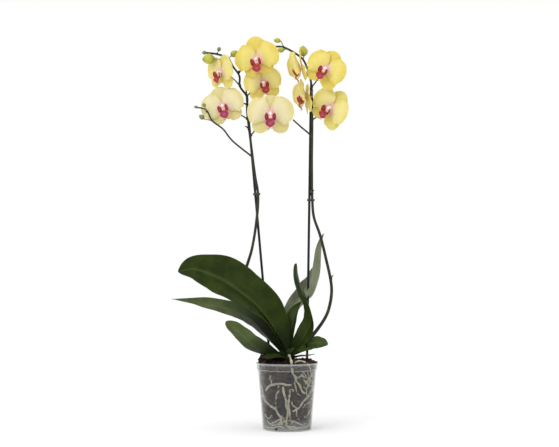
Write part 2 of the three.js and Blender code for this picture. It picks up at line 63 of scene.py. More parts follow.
POT_FOOT_RADIUS = 47
POT_NECK_RADIUS = 56.5
POT_COLLAR_RADIUS = 58.4
POT_RIM_RADIUS = 60
POT_NECK_Z = 114
POT_HEIGHT = 128
POT_CORNER = 2.5
POT_WALL = 1.2
DRAIN_RADIUS = 3
DRAIN_ANGLES = [-27 + 90 * i for i in range(4)]
BARK_TOP = 120
BARK_DOME = 9
BARK_DOME_FALL = 0.0014
HEAPS = [(15, -42, -12, 420), (7, 34, -22, 500)]  # how high, x, y, how wide (squared)
CHIP_GAP = 0.4
CHIP_ROW = 6.5
CHIPS_ON_TOP = 330
CHIP_REACH = 53

STAKE_RADIUS = 2.4
STAKE_FOOT_Z = 16
STAKES = {
    "stake_left": ((-33, 20, 128), (-81, 20, 665)),
    "stake_right": ((39, 10, 128), (48, 10, 687)),
}
# Each clip: its height, its stake, and where the stem it holds is.
CLIPS = {
    "clip_left": (457, "stake_left", (-57, 13, 457)),
    "clip_right": (445, "stake_right", (50, 12, 445)),
}
CLIP_SECTION = [
    (3.4, -1.7), (3.5, -2), (4.4, -2), (4.6, -1.7), (4.6, 1.7), (4.4, 2), (3.5, 2), (3.4, 1.7)]

CROWN = [(2, -2, 112), (2, -4, 140), (3, -3, 152), (4, -2, 160)]
CROWN_RADII = [9, 12, 8, 4]
SHEATH_WIDTH = 19
SHEATHS = [(-1, 134), (1, 136), (-1, 141), (1, 144)]  # the side and height of each leaf foot

# Roots on the wall are laid by their angle from the front and their height.
ROOT_RADIUS = 2.1
ROOT_SETBACK = 0.6
AERIAL_ROOT = [(3, -22, 143), (5, -37, 142), (8, -48, 132)]
WALL_ROOTS = {
    "root_aerial": [(12, 110), (20, 96), (31, 83), (42, 72)],
    "root_arc": [(-54, 77), (-42, 86), (-25, 90), (-9, 91), (8, 89)],
    "root_centre": [(-9, 84), (-5, 67), (-2, 49), (1, 32), (-2, 13)],
    "root_left": [(-74, 66), (-58, 55), (-42, 48), (-27, 41), (-17, 29), (-14, 14)],
    "root_right": [(78, 82), (60, 70), (46, 60), (32, 48), (14, 39)],
}
# Thinner roots on the wall, by what they branch from: their radius and their points.
FINE_ROOTS = {
    "root_centre": [
        (2.0, [(13, 78), (6, 80), (4, 64), (4, 44), (7, 28), (12, 15)]),
        (1.5, [(-8, 22), (-2, 12), (6, 6)]),
        (1.3, [(10, 56), (20, 46), (22, 32), (30, 22)]),
        (1.3, [(-12, 30), (-18, 18), (-30, 10)]),
    ],
    "root_arc": [
        (1.9, [(-19, 86), (-24, 72), (-26, 58), (-27, 44)]),
        (1.2, [(-36, 106), (-35, 96), (-31, 88)]),
    ],
    "root_right": [
        (1.4, [(87, 66), (66, 57), (50, 52), (40, 44)]),
        (1.7, [(5, 10), (20, 8), (38, 10), (60, 14)]),
        (2.1, [(160, 104), (146, 82), (128, 70), (112, 40), (104, 14)]),
        (1.8, [(176, 90), (170, 60), (176, 36), (168, 12)]),
        (1.5, [(30, 108), (36, 99), (50, 94), (64, 98), (76, 92)]),
        (1.3, [(56, 106), (60, 96), (72, 86), (80, 74)]),
        (1.4, [(76, 40), (62, 34), (50, 26), (34, 28)]),
        (1.0, [(34, 112), (44, 104), (58, 102), (70, 108)]),
        (1.1, [(46, 113), (52, 102), (48, 92), (56, 84)]),
        (1.0, [(72, 112), (66, 100), (56, 92), (50, 80)]),
        (0.9, [(38, 98), (50, 86), (62, 84), (74, 90)]),
        (1.6, [(10, 6), (30, 7), (50, 6), (68, 9)]),
        (1.5, [(4, 22), (24, 17), (44, 10), (60, 7)]),
    ],
    "root_left": [
        (1.3, [(-72, 86), (-68, 74), (-60, 64)]),
        (1.7, [(-50, 15), (-38, 16), (-22, 22), (-5, 27)]),
        (1.9, [(-150, 96), (-130, 74), (-112, 60), (-98, 34), (-90, 12)]),
        (1.4, [(-66, 30), (-52, 24), (-40, 30), (-30, 22)]),
        (1.6, [(-66, 9), (-46, 7), (-26, 9), (-8, 7)]),
        (1.5, [(-58, 20), (-40, 12), (-22, 14), (-6, 20)]),
    ],
    "root_aerial": [
        (1.6, [(66, 110), (54, 100), (45, 92), (38, 88)]),
        (1.3, [(60, 92), (50, 88), (44, 80)]),
        (1.2, [(38, 84), (48, 76), (52, 66), (46, 58)]),
        (1.3, [(22, 104), (16, 92), (20, 78), (30, 68)]),
        (1.2, [(24, 102), (36, 104), (46, 98), (56, 92)]),
    ],
}
# A root that comes out over the bark, then dives along the wall.
RIM_ROOT_RADIUS = 1.6
RIM_ROOT = [(15, -43, 130), (23, -47, 134), (34, -43, 131), (42, -34, 123)]
RIM_ROOT_WALL = [(58, 112), (62, 104), (56, 96)]

LEAF_THICKNESS = 2.0
# Each leaf: spine, the way its upper side faces, width, outline (base, peak, blunt), fold, tint.
LEAVES = {
    "leaf_broad": dict(
        spine=[(-2, -8, 146), (-33, -14, 206), (-62, -20, 242), (-91, -28, 265), (-119, -36, 285),
               (-151, -46, 300), (-180, -54, 308), (-207, -60, 303)],
        up=[(0.5, -0.6, 0.4), (0.6, -0.6, 0.5), (0.4, -0.7, 0.6), (0.1, -0.9, 0.4), (0, -1, 0.2)],
        width=104, shape=(0.25, 0.5, 0.68), fold=(42, 24), tint="deep"),
    "leaf_under": dict(
        spine=[(-6, -8, 142), (-36, -14, 178), (-73, -18, 216), (-116, -20, 234), (-153, -22, 242),
               (-190, -24, 248), (-222, -26, 251)],
        up=[(0, 0.2, 1), (0.2, 0.6, 0.8), (0.1, 0.6, 0.8)],
        width=58, shape=(0.35, 0.35, 1.2), fold=(25, 4), tint="deep"),
    "leaf_front": dict(
        spine=[(-10, -16, 134), (-41, -36, 150), (-65, -52, 166), (-82, -66, 182), (-99, -78, 198),
               (-114, -86, 210)],
        up=[(0.3, 0.6, 0.8), (0.5, 0.8, 0.4), (0.5, 0.8, 0.3)],
        width=48, shape=(0.4, 0.5, 0.5), fold=(20, 6), tint="fresh"),
    "leaf_back": dict(
        spine=[(0, 4, 142), (-1, 13, 178), (5, 23, 214), (17, 34, 244), (32, 46, 266), (44, 56, 283),
               (51, 62, 298), (55, 66, 316)],
        up=[(-0.4, 0.8, 0.4), (-0.4, 0.7, 0.6), (-0.4, 0.6, 0.7)],
        width=42, shape=(0.4, 0.6, 0.7), fold=(20, 10), tint="deep"),
    "leaf_tall": dict(
        spine=[(4, 2, 146), (12, 5, 208), (22, 8, 231), (35, 12, 246), (49, 16, 260), (57, 20, 280),
               (62, 24, 312), (64, 28, 345), (69, 30, 368), (73, 30, 380)],
        up=[(-0.5, -0.8, 0.3), (-0.6, -0.7, 0.4), (-0.9, 0.3, 0.2), (-0.8, 0.6, 0.1),
            (-0.8, 0.6, 0.1)],
        width=38, shape=(0.5, 0.35, 0.6), fold=(40, 16), tint="deep"),
    "leaf_curled": dict(
        spine=[(8, -8, 146), (32, -26, 178), (45, -38, 206), (41, -46, 236), (29, -50, 264),
               (20, -50, 290), (17, -50, 319)],
        up=[(-0.2, -0.7, 0.7), (-0.5, -0.8, 0.2), (-0.9, -0.3, 0), (-1, -0.3, 0), (-1, -0.4, 0)],
        width=42, shape=(0.5, 0.4, 0.35), fold=(40, 12), tint="deep"),
    "leaf_short": dict(
        spine=[(8, 2, 142), (34, 14, 158), (58, 22, 165), (80, 28, 165)],
        up=[(0, -0.6, 0.8), (0, -0.6, 0.8)],
        width=38, shape=(0.5, 0.6, 0.36), fold=(30, 8), tint="fresh"),
    "leaf_sliver": dict(
        spine=[(10, -12, 138), (24, -22, 142), (38, -28, 143), (53, -32, 146)],
        up=[(0, -0.1, 1), (0, -0.1, 1)],
        width=14, shape=(0.6, 0.3, 0.8), fold=(25, 8), tint="deep"),
    "leaf_rim": dict(
        spine=[(-2, -18, 139), (-20, -34, 145), (-36, -42, 142), (-47, -44, 141)],
        up=[(0.1, -0.6, 0.8), (0.1, -0.6, 0.8)],
        width=20, shape=(0.6, 0.4, 0.6), fold=(20, 8), tint="deep"),
}

STEM_RADII = [4.2, 3.4, 3, 2.9, 2.7, 2.5, 2.4, 2.2, 2.1, 1.9]
BRANCH_RADII = [1.8, 1.5]
PEDICEL_RADIUS = 1.3
PEDICEL_REACH = 5.6
BUD_STALK_RADIUS = 1.2
FAT_BUD = 20  # from this breadth, a bud's stalk swells with it
SPIKES = {
    "spike_left": dict(
        stem=[(-4, 12, 140), (-24, 26, 172), (-40, 30, 183), (-60, 32, 195), (-87, 32, 213),
              (-100, 30, 251), (-79, 25, 316), (-69, 20, 349), (-59, 12, 412), (-57, 13, 457),
              (-63, 14, 495), (-72, 14, 564), (-79, 14, 624), (-79, 12, 650), (-93, 10, 671),
              (-94, 8, 691), (-107, 5, 710), (-116, 2, 725), (-138, 0, 733), (-158, -3, 735)],
        branch=[(-70, 14, 532), (-108, -8, 561), (-125, -24, 581), (-145, -29, 596),
                (-156, -29, 616), (-163, -28, 620), (-173, -27, 622)],
        bracts=[((-59, 13, 468), (-8, -2, 4)), ((-75, 14, 585), (-9, -4, 7)),
                ((-78, 14, 632), (-10, -4, 6)), ((-101, 29, 262), (-5, -1, 8))]),
    "spike_right": dict(
        stem=[(10, 10, 142), (35, 19, 165), (54, 21, 184), (75, 18, 214), (83, 20, 234),
              (88, 22, 271), (76, 20, 334), (65, 17, 377), (53, 14, 412), (50, 12, 445),
              (49, 4, 496), (49.5, 3, 563), (50, 3, 603), (49, 3, 665), (45, 5, 692), (37, 4, 714),
              (32, 3, 723), (22, 0, 731), (8, -4, 739), (-10, -8, 746), (-27, -12, 745)],
        branch=[(49.5, 3, 566), (46, 0, 572), (28, 6, 589), (13, 14, 604)],
        bracts=[((50, 2, 626), (-6, -6, 6)), ((50, 11, 458), (4, -5, 7)),
                ((87, 21, 290), (5, -1, 8))]),
}

SEPAL_LENGTH = 43
SEPAL_BREADTH = 34
TOP_SEPAL_WIDENING = 1.22
LATERAL_ANGLE = 47
PETAL_LENGTH = 45
PETAL_BREADTH = 52
PETAL_ANGLE = 20
# Each flower: centre, turn (yaw, nod, roll), size, cup, spike, where its stalk starts, its tint, and
# how long its top, left and right sepals are.
WHOLE = (1, 1, 1)
# The pale tint is painted light: a lighter copy of the yellow, for the flowers that lie in shade or face
# away.
FLOWERS = {
    "flower_1": ((-58, -42, 712), (-12, 4, -8), 1, -2, "spike_left", (-95, 8, 699), "rich",
                 (1.1, 0.8, 0.8)),
    "flower_2": ((-47, -14, 672), (10, 4, -14), 0.86, 2, "spike_left", (-79, 12, 652), "pale", WHOLE),
    "flower_3": ((-128, -22, 691), (-45, 2, 8), 0.85, 6, "spike_left", (-93, 10, 672), "mid", WHOLE),
    "flower_4": ((-124, -21, 624), (-8, 0, -18), 0.98, 2, "spike_left", (-79, 14, 607), "cream",
                 (1, 0.85, 0.9)),
    "flower_5": ((-32, -42, 606), (0, 4, 0), 1.03, 0, "spike_left", (-71, 14, 574), "cream",
                 (0.86, 1, 1)),
    "flower_6": ((74, -54, 691), (-14, 0, 33), 0.93, 2, "spike_right", (49, 3, 668), "rich", WHOLE),
    "flower_7": ((84, -30, 619), (-28, 0, 42), 0.96, 8, "spike_right", (50, 3, 603), "mid", WHOLE),
    "flower_8": ((27, -22, 701), (-88, 12, 0), 0.95, 24, "spike_right", (44, 5, 694), "pale",
                 (1, 0.75, 0.75)),
    "flower_9": ((37, -12, 646), (-80, 4, 0), 0.95, 20, "spike_right", (49, 3, 660), "pale",
                 (0.6, 1, 1)),
}

# Each bud: centre, the way its tip points, (length, breadth), where its stalk starts.
BUDS = {
    "bud_left_1": ((-104, -5, 733), (0.75, -0.2, 0.55), (16, 14), (-116, 2, 724)),
    "bud_left_2": ((-134, -1, 743), (0.3, 0, 1), (9, 8), (-138, 0, 734)),
    "bud_left_3": ((-153, -24, 718), (-1, -0.1, -0.1), (25, 21), (-113, 3, 715)),
    "bud_left_4": ((-163, -4, 735), (-1, -0.1, -0.15), (9, 8), None),
    "bud_branch_1": ((-161, -33, 626), (-0.5, -0.3, 0.8), (8, 7), (-156, -29, 614)),
    "bud_branch_2": ((-165, -36, 602), (-0.8, -0.1, 0.6), (12, 10), (-145, -29, 596)),
    "bud_branch_3": ((-177, -27, 623), (-1, 0, 0.15), (8, 6), None),
    "bud_right_1": ((32, -9, 737), (-0.1, -0.2, 1), (21, 18), (33, 3, 721)),
    "bud_right_2": ((-19, -14, 757), (-1, -0.1, 0.1), (14, 10), (-6, -8, 745)),
    "bud_right_3": ((-12, -15, 738), (-1, -0.1, -0.2), (15, 11), (4, -5, 741)),
}


# ---- Curves and surfaces ----

def unit(vectors):
    lengths = np.linalg.norm(vectors, axis=-1, keepdims=True)
    return vectors / np.maximum(lengths, 1e-12)


def curve_table(points, fine=32):
    """Points along a centripetal Catmull-Rom curve, with how far along it each one lies."""
    points = np.asarray(points, float)
    ends = [2 * points[0] - points[1], *points, 2 * points[-1] - points[-2]]
    t = np.linspace(0, 1, fine, endpoint=False)[:, None]
    stretches = []
    for a, b, c, d in zip(ends, ends[1:], ends[2:], ends[3:]):
        before, here, after = (
            max(np.linalg.norm(q - p), 1e-9) ** 0.5 for p, q in ((a, b), (b, c), (c, d)))
        leave = ((b - a) / before - (c - a) / (before + here) + (c - b) / here) * here
        reach = ((c - b) / here - (d - b) / (here + after) + (d - c) / after) * here
        bend = 3 * (c - b) - 2 * leave - reach
        twist = leave + reach - 2 * (c - b)
        stretches.append(b + leave * t + bend * t ** 2 + twist * t ** 3)
    table = np.vstack([*stretches, points[-1:]])
    steps = np.linalg.norm(np.diff(table, axis=0), axis=1)
    return table, np.concatenate([[0], np.cumsum(steps)])


def along_curve(points, t):
    """Places and directions at shares t of a curve's length."""
    table, travelled = curve_table(points)
    at = np.asarray(t) * travelled[-1]
    place = lambda d: np.stack([np.interp(d, travelled, table[:, k]) for k in range(3)], axis=-1)
    small = travelled[-1] * 0.01
    ahead = place(np.clip(at + small, 0, travelled[-1]))
    behind = place(np.clip(at - small, 0, travelled[-1]))
    return place(at), unit(ahead - behind)


def even(count):
    return np.linspace(0, 1, count)


def spread(values, t):
    """Values spread evenly from 0 to 1, read at t."""
    values = np.asarray(values, float)
    marks = even(len(values))
    if values.ndim == 1:
        return np.interp(t, marks, values)
    return np.stack([np.interp(t, marks, values[:, k]) for k in range(values.shape[1])], axis=-1)


def outline(t, base, peak, blunt):
    """A blade's share of its full width at t: it widens to the peak, then rounds off."""
    rising = base + (1 - base) * np.sin(np.pi / 2 * np.minimum(t / peak, 1))
    falling = np.maximum(1 - np.maximum((t - peak) / (1 - peak), 0) ** 2, 0) ** blunt
    return np.where(t < peak, rising, falling)


def waves(rng, count, lowest, highest):
    """A smooth random function of t, about -1 to 1."""
    parts = [(rng.uniform(lowest, highest), rng.uniform(0, 2 * math.pi)) for _ in range(count)]
    return lambda t: sum(np.sin(2 * math.pi * f * t + p) for f, p in parts) / count ** 0.5


def add_object(name, data):
    made = bpy.data.objects.new(name, data)
    bpy.context.scene.collection.objects.link(made)
    return made


class Shape:
    """Gathers skins over rings of points into one mesh, with UVs and material numbers."""

    def __init__(self):
        self.points = []
        self.faces = []
        self.corners = []
        self.numbers = []

    def skin(self, rings, u, v, number=0, capped=True):
        rows, columns = rings.shape[:2]
        first = len(self.points)
        self.points.extend(rings.reshape(-1, 3).tolist())
        numbers = np.broadcast_to(number, columns)
        for i in range(rows - 1):
            for j in range(columns):
                a = first + i * columns + j
                b = first + i * columns + (j + 1) % columns
                self.faces.append((a, b, b + columns, a + columns))
                self.corners += [(u[j], v[i]), (u[j + 1], v[i]), (u[j + 1], v[i + 1]), (u[j], v[i + 1])]
                self.numbers.append(int(numbers[j]))
        if not capped:
            return
        last = first + (rows - 1) * columns
        for ring, height in ((range(first + columns - 1, first - 1, -1), v[0]),
                             (range(last, last + columns), v[-1])):
            self.faces.append(tuple(ring))
            self.corners += [(0.5, height)] * columns
            self.numbers.append(int(numbers[0]))

    def tube(self, points, radii, steps, sides, number=0, bumps=None):
        """A round tube with domed ends."""
        dome = np.array([0.0, 0.38, 0.71, 0.92])
        t = even(steps + 1)
        centre, along = along_curve(points, t)
        radius = spread(radii, t)
        if bumps is not None:
            radius = radius * bumps(t)
        normal = unit(np.cross(along[0], (0.31, 0.85, 0.42)))
        angle = np.linspace(0, 2 * np.pi, sides, endpoint=False)
        rings = []
        for p, way, r in zip(centre, along, radius):
            normal = unit(normal - way * np.dot(normal, way))
            other = np.cross(way, normal)
            spoke = np.cos(angle)[:, None] * normal + np.sin(angle)[:, None] * other
            rings.append((p, way, r, spoke))
        p, way, r, spoke = rings[0]
        start = [p - way * r * math.sqrt(1 - d * d) + spoke * r * d for d in dome]
        p, way, r, spoke = rings[-1]
        finish = [p + way * r * math.sqrt(1 - d * d) + spoke * r * d for d in dome[::-1]]
        body = [p + spoke * r for p, way, r, spoke in rings]
        v = np.concatenate([np.zeros(4), t, np.ones(4)])
        self.skin(np.array(start + body + finish), even(sides + 1), v, number)

    def blade(self, points, up, half, fold, thick, rows, columns, relief=None, edge=None,
              numbers=(0, 0)):
        """A thin closed sheet along a spine. half(t) is half its width. fold, in degrees, is how far
        its halves rise, and goes evenly from foot to tip, as thick does. relief(t, s) is its
        height over that, and edge(t, side) scales each margin."""
        t = (1 - np.cos(np.linspace(0, np.pi, rows + 1))) / 2
        s = np.sin(np.linspace(-np.pi / 2, np.pi / 2, columns + 1))
        centre, along = along_curve(points, t)
        normal = spread(up, t)
        normal = unit(normal - along * np.sum(normal * along, axis=1, keepdims=True))
        side = np.cross(along, normal)
        width = np.repeat(half(t)[:, None], columns + 1, axis=1)
        if edge is not None:
            width = width * np.where(s < 0, edge(t, -1)[:, None], edge(t, 1)[:, None])
        angle = np.radians(spread(fold, t))[:, None]
        rise = np.sqrt(s ** 2 + 0.006) - 0.08
        height = width * rise * np.sin(angle)
        if relief is not None:
            height = height + relief(t[:, None], s[None, :])
        depth = spread(thick, t)[:, None] * (1 - np.abs(s) ** 3) / 2
        depth[:, [0, -1]] = 0
        across = (width * s * np.cos(angle))[..., None] * side[:, None, :]
        middle = centre[:, None, :] + across + height[..., None] * normal[:, None, :]
        lift = depth[..., None] * normal[:, None, :]
        top = middle + lift
        under = (middle - lift)[:, -2:0:-1]
        u = (s + 1) / 2
        u = np.concatenate([u, u[-2:0:-1], u[:1]])
        number = np.concatenate([np.full(columns, numbers[0]), np.full(columns, numbers[1])])
        self.skin(np.concatenate([top, under], axis=1), u, t, number)

    def ball(self, centre, radii, number=0, rows=10, sides=14):
        """An ellipsoid."""
        polar = np.linspace(0, np.pi, rows + 1)[:, None]
        angle = np.linspace(0, 2 * np.pi, sides, endpoint=False)
        rings = np.stack([
            np.sin(polar) * np.cos(angle), np.sin(polar) * np.sin(angle),
            np.repeat(-np.cos(polar), sides, axis=1)], axis=-1) * radii
        self.skin(rings + centre, even(sides + 1), even(rows + 1), number)

    def placed(self, matrix):
        points = np.array(self.points)
        rotation = np.array(matrix.to_3x3())
        self.points = (points @ rotation.T + np.array(matrix.translation)).tolist()
        return self

    def mesh(self, name):
        mesh = bpy.data.meshes.new(name)
        mesh.from_pydata((np.array(self.points) * MM).tolist(), [], self.faces)
        return mesh

    def piece(self, name, materials, node, slot, sharp):
        """Shows the mesh in place of a CAD node."""
        mesh = self.mesh(name)
        mesh.uv_layers.new(name="surface").data.foreach_set("uv", np.ravel(self.corners))
        mesh.polygons.foreach_set("material_index", self.numbers)
        for material in materials:
            mesh.materials.append(material)
        body = bmesh.new()
        body.from_mesh(mesh)
        bmesh.ops.remove_doubles(body, verts=body.verts, dist=2e-6)
        bmesh.ops.recalc_face_normals(body, faces=body.faces)
        body.to_mesh(mesh)
        body.free()
        mesh.polygons.foreach_set("use_smooth", [True] * len(mesh.polygons))
        mesh.set_sharp_from_angle(angle=math.radians(sharp))
        piece = add_object(name, mesh)
        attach(piece, BODY)
        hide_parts(node)
        return piece


def lathe_rings(profile, sides):
    angle = np.linspace(0, 2 * np.pi, sides, endpoint=False)
    profile = np.array(profile, float)
    return np.stack([
        profile[:, :1] * np.sin(angle), profile[:, :1] * -np.cos(angle),
        np.repeat(profile[:, 1:], sides, axis=1)], axis=-1)


# ---- Materials ----

class Look:
    """A material's node tree. A socket given as an input is linked, and a number is set.
    Ramps and mixes take colours as 0 to 255 screen values."""

    def __init__(self, name):
        self.material = bpy.data.materials.new(name)
        self.material.use_nodes = True
        self.tree = self.material.node_tree
        self.tree.nodes.clear()

    def node(self, kind, inputs=None, **settings):
        made = self.tree.nodes.new("ShaderNode" + kind)
        for key, value in settings.items():
            setattr(made, key, value)
        for key, value in (inputs or {}).items():
            if isinstance(value, bpy.types.NodeSocket):
                self.tree.links.new(value, made.inputs[key])
            else:
                made.inputs[key].default_value = value
        return made

    def place(self):
        return self.node("TexCoord").outputs["Object"]

    def uv(self):
        split = self.node("SeparateXYZ", {0: self.node("UVMap", uv_map="surface").outputs[0]})
        return split.outputs[0], split.outputs[1]

    def stretched(self, x, y):
        """UV coordinates scaled by x and y, as a vector."""
        mapped = self.node("Mapping", {
            "Vector": self.node("UVMap", uv_map="surface").outputs[0], "Scale": (x, y, 1)})
        return mapped.outputs[0]

    def noise(self, scale, detail=3, vector=None, rough=0.5):
        made = self.node("TexNoise", {
            "Vector": vector or self.place(), "Scale": scale, "Detail": detail,
            "Roughness": rough})
        return made.outputs[0]

    def math(self, operation, a, b=0.0, clamp=False):
        made = self.node("Math", {0: a, 1: b}, operation=operation, use_clamp=clamp)
        return made.outputs[0]

    def times(self, a, b):
        return self.math("MULTIPLY", a, b)

    def uneven(self, value, noise, amount):
        """The value, pushed up and down by a noise."""
        push = self.times(self.math("SUBTRACT", noise, 0.5), amount)
        return self.math("ADD", value, push)

    def from_middle(self, u):
        return self.math("ABSOLUTE", self.math("SUBTRACT", u, 0.5))

    def ramp(self, factor, stops, smooth="EASE"):
        made = self.node("ValToRGB", {0: factor})
        made.color_ramp.interpolation = smooth
        marks = made.color_ramp.elements
        while len(marks) < len(stops):
            marks.new(0.5)
        for mark, (position, colour) in zip(marks, stops):
            mark.position = position
            mark.color = srgb(*colour) if isinstance(colour, tuple) else (colour, colour, colour, 1)
        return made.outputs[0]

    def mix(self, factor, a, b):
        a, b = (srgb(*colour) if isinstance(colour, tuple) else colour for colour in (a, b))
        return self.node("Mix", {0: factor, 6: a, 7: b}, data_type="RGBA").outputs[2]

    def join(self, share, a, b):
        return self.node("MixShader", {0: share, 1: a, 2: b}).outputs[0]

    def bump(self, height, distance, strength):
        made = self.node("Bump", {"Height": height, "Distance": distance, "Strength": strength})
        return made.outputs[0]

    def surface(self, colour, roughness, normal, specular=0.5):
        return self.node("BsdfPrincipled", {
            "Base Color": colour, "Roughness": roughness, "Specular IOR Level": specular,
            "Normal": normal}).outputs[0]

    def done(self, shader):
        self.node("OutputMaterial", {"Surface": shader})
        return self.material

    def finish(self, colour, roughness, bump, specular=0.5):
        """The whole material, for one surface. bump is its height, distance and strength."""
        return self.done(self.surface(colour, roughness, self.bump(*bump), specular))


LEAF_SPECULAR = 0.08


def leaf_look(name, top, dark, rib, roughness, veins, shade=(0, 0.25)):
    """Waxy leaf: long fine veins, cloudy patches, a paler midrib and a foot darkened by painted shade."""
    look = Look(name)
    u, v = look.uv()
    off = look.from_middle(u)
    fine = look.noise(1, 2, look.stretched(70, 3))
    cloud = look.noise(38, 4)
    colour = look.mix(look.ramp(cloud, [(0.32, 0), (0.68, 1)]), dark, top)
    colour = look.mix(look.times(fine, veins), colour, rib)
    for stops in ([(0, 0.55), (0.02, 0.3), (0.07, 0)], [(0.475, 0), (0.5, 0.5)]):
        colour = look.mix(look.ramp(off, stops), colour, rib)
    # painted shade: the leaf darkens to deep green towards its foot, fading out from shade[0] to shade[1]
    # along it
    foot = look.ramp(v, [(shade[0], 0.95), (shade[1], 0.0)])
    colour = look.mix(foot, colour, (20, 27, 10))
    height = look.math("ADD", look.times(fine, 0.8), look.times(look.noise(900, 2), 0.2))
    gloss = look.ramp(cloud, [(0.3, roughness + 0.06), (0.7, roughness - 0.05)])
    return look.finish(colour, gloss, (height, 0.0006, 0.35), LEAF_SPECULAR)


def petal_look(name, margin, centre, throat, blush):
    """Thin petal: a pale throat, a coloured margin and fine veins, lit through from behind."""
    look = Look(name)
    u, v = look.uv()
    along = look.uneven(v, look.noise(55, 4), 0.35)
    colour = look.ramp(along, [(0.08, throat), (0.3, centre), (0.6, centre), (0.95, margin)])
    colour = look.mix(look.ramp(along, [(0.1, 0.55), (0.28, 0)]), colour, (232, 160, 166))
    colour = look.mix(look.ramp(look.from_middle(u), [(0.3, 0), (0.5, 0.75)]), colour, margin)
    lines = look.noise(1, 2, look.stretched(46, 2.2), 0.6)
    near = look.ramp(v, [(0.05, 0.4), (0.5, 0.16), (1, 0.05)])
    vein = look.times(look.ramp(lines, [(0.5, 0), (0.66, 1)]), near)
    colour = look.mix(vein, colour, blush)
    height = look.math("ADD", lines, look.times(look.noise(1500, 1), 0.25))
    normal = look.bump(height, 0.0005, 0.3)
    face = look.surface(colour, 0.5, normal, 0.35)
    glow = look.mix(0.45, colour, (255, 253, 228))
    through = look.node("BsdfTranslucent", {"Color": glow, "Normal": normal}).outputs[0]
    return look.done(look.join(0.28, face, through))


def lip_look(name, deep, mid, pale, margin):
    """Lip lobes: dark magenta with darker streaks, orange and pale towards their margins."""
    look = Look(name)
    u, v = look.uv()
    streaks = look.noise(1, 2, look.stretched(22, 2.5), 0.7)
    colour = look.ramp(streaks, [
        (0.4, deep), (0.56, mid), (0.7, pale), (0.84, (240, 196, 190))])
    colour = look.mix(look.ramp(v, [(0.5, 0), (0.8, 0.6)]), colour, (168, 22, 74))
    ends = look.ramp(v, [(0, 0.9), (0.14, 0), (0.86, 0), (1, 0.8)])
    colour = look.mix(ends, colour, (240, 200, 190))
    rim = look.math("ADD", look.from_middle(u), look.times(look.noise(300, 2), 0.12))
    colour = look.mix(look.ramp(rim, [(0.46, 0), (0.56, 0.85)]), colour, margin)
    return look.finish(colour, 0.38, (look.noise(800, 3), 0.0004, 0.4))


# Each plain material: its patches, their colours, its roughness, its grain and how strong that is.
PLAIN_LOOKS = {
    "column": ((260, 3), [(0.4, (248, 236, 228)), (0.62, (240, 208, 212)), (0.78, (214, 130, 152))],
               0.35, (900, 2), 0.3),
    "callus": ((620, 2), [(0.42, (236, 178, 60)), (0.52, (230, 150, 60)), (0.58, (140, 24, 40))],
               0.32, (900, 2), 0.4),
    "clip": ((420, 3), [(0.3, (30, 31, 28)), (0.7, (50, 51, 46))], 0.4, (420, 3), 0.4),
}


def plain_look(name):
    look = Look(name)
    patches, stops, roughness, grain, strength = PLAIN_LOOKS[name]
    colour = look.ramp(look.noise(*patches), stops)
    return look.finish(colour, roughness, (look.noise(*grain), 0.0003, strength))


def stem_look():
    look = Look("stem")
    colour = look.ramp(look.noise(70, 4), [
        (0.3, (27, 26, 18)), (0.5, (36, 38, 24)), (0.78, (56, 62, 35))])
    flecks = look.ramp(look.noise(1, 3, look.stretched(16, 160), 0.7), [(0.6, 0), (0.74, 0.4)])
    colour = look.mix(flecks, colour, (88, 92, 60))
    return look.finish(colour, 0.42, (look.noise(500, 3), 0.0004, 0.5), 0.3)


def stalk_look(name, foot, head):
    """A flower's or bud's own stalk, which pales along its length."""
    look = Look(name)
    _, v = look.uv()
    along = look.uneven(v, look.noise(200, 3), 0.4)
    colour = look.ramp(along, [(0.1, foot), (0.85, head)])
    return look.finish(colour, 0.45, (look.noise(700, 2), 0.0003, 0.4))


def bud_look(name, base, flank, tip):
    """Bud skin: greener at its foot and tip, faint lengthwise veins."""
    look = Look(name)
    _, v = look.uv()
    along = look.uneven(v, look.noise(120, 3), 0.35)
    colour = look.ramp(along, [(0.05, base), (0.4, flank), (0.75, flank), (0.98, tip)])
    lines = look.noise(1, 2, look.stretched(30, 2), 0.6)
    colour = look.mix(look.ramp(lines, [(0.52, 0), (0.7, 0.35)]), colour, base)
    return look.finish(colour, 0.42, (lines, 0.0004, 0.35))


def root_look():
    """Velamen: silvery and pale, with brown scuffs and greenish wet patches."""
    look = Look("root")
    colour = look.ramp(look.noise(95, 4), [
        (0.28, (124, 116, 92)), (0.42, (164, 158, 138)), (0.62, (182, 178, 160)),
        (0.8, (140, 146, 110))])
    scuffs = look.ramp(look.noise(420, 4, rough=0.7), [(0.6, 0), (0.72, 0.6)])
    colour = look.mix(scuffs, colour, (96, 76, 52))
    return look.finish(colour, 0.62, (look.noise(700, 4), 0.0006, 0.6))


def bark_look():
    """Pine bark: dark cores, reddish faces and fine splits."""
    look = Look("bark")
    chips = look.node("TexVoronoi", {"Vector": look.place(), "Scale": 95.0}).outputs["Color"]
    tone = look.node("SeparateColor", {0: chips}).outputs[0]
    grain = look.noise(420, 5, rough=0.65)
    colour = look.ramp(tone, [
        (0, (25, 15, 14)), (0.45, (41, 25, 23)), (0.75, (60, 37, 33)),
        (1, (92, 66, 56))])
    colour = look.mix(look.ramp(grain, [(0.35, 0.75), (0.62, 0)]), colour, (19, 13, 12))
    rough = look.ramp(grain, [(0.3, 0.95), (0.7, 0.72)])
    return look.finish(colour, rough, (grain, 0.0015, 0.8), 0.2)


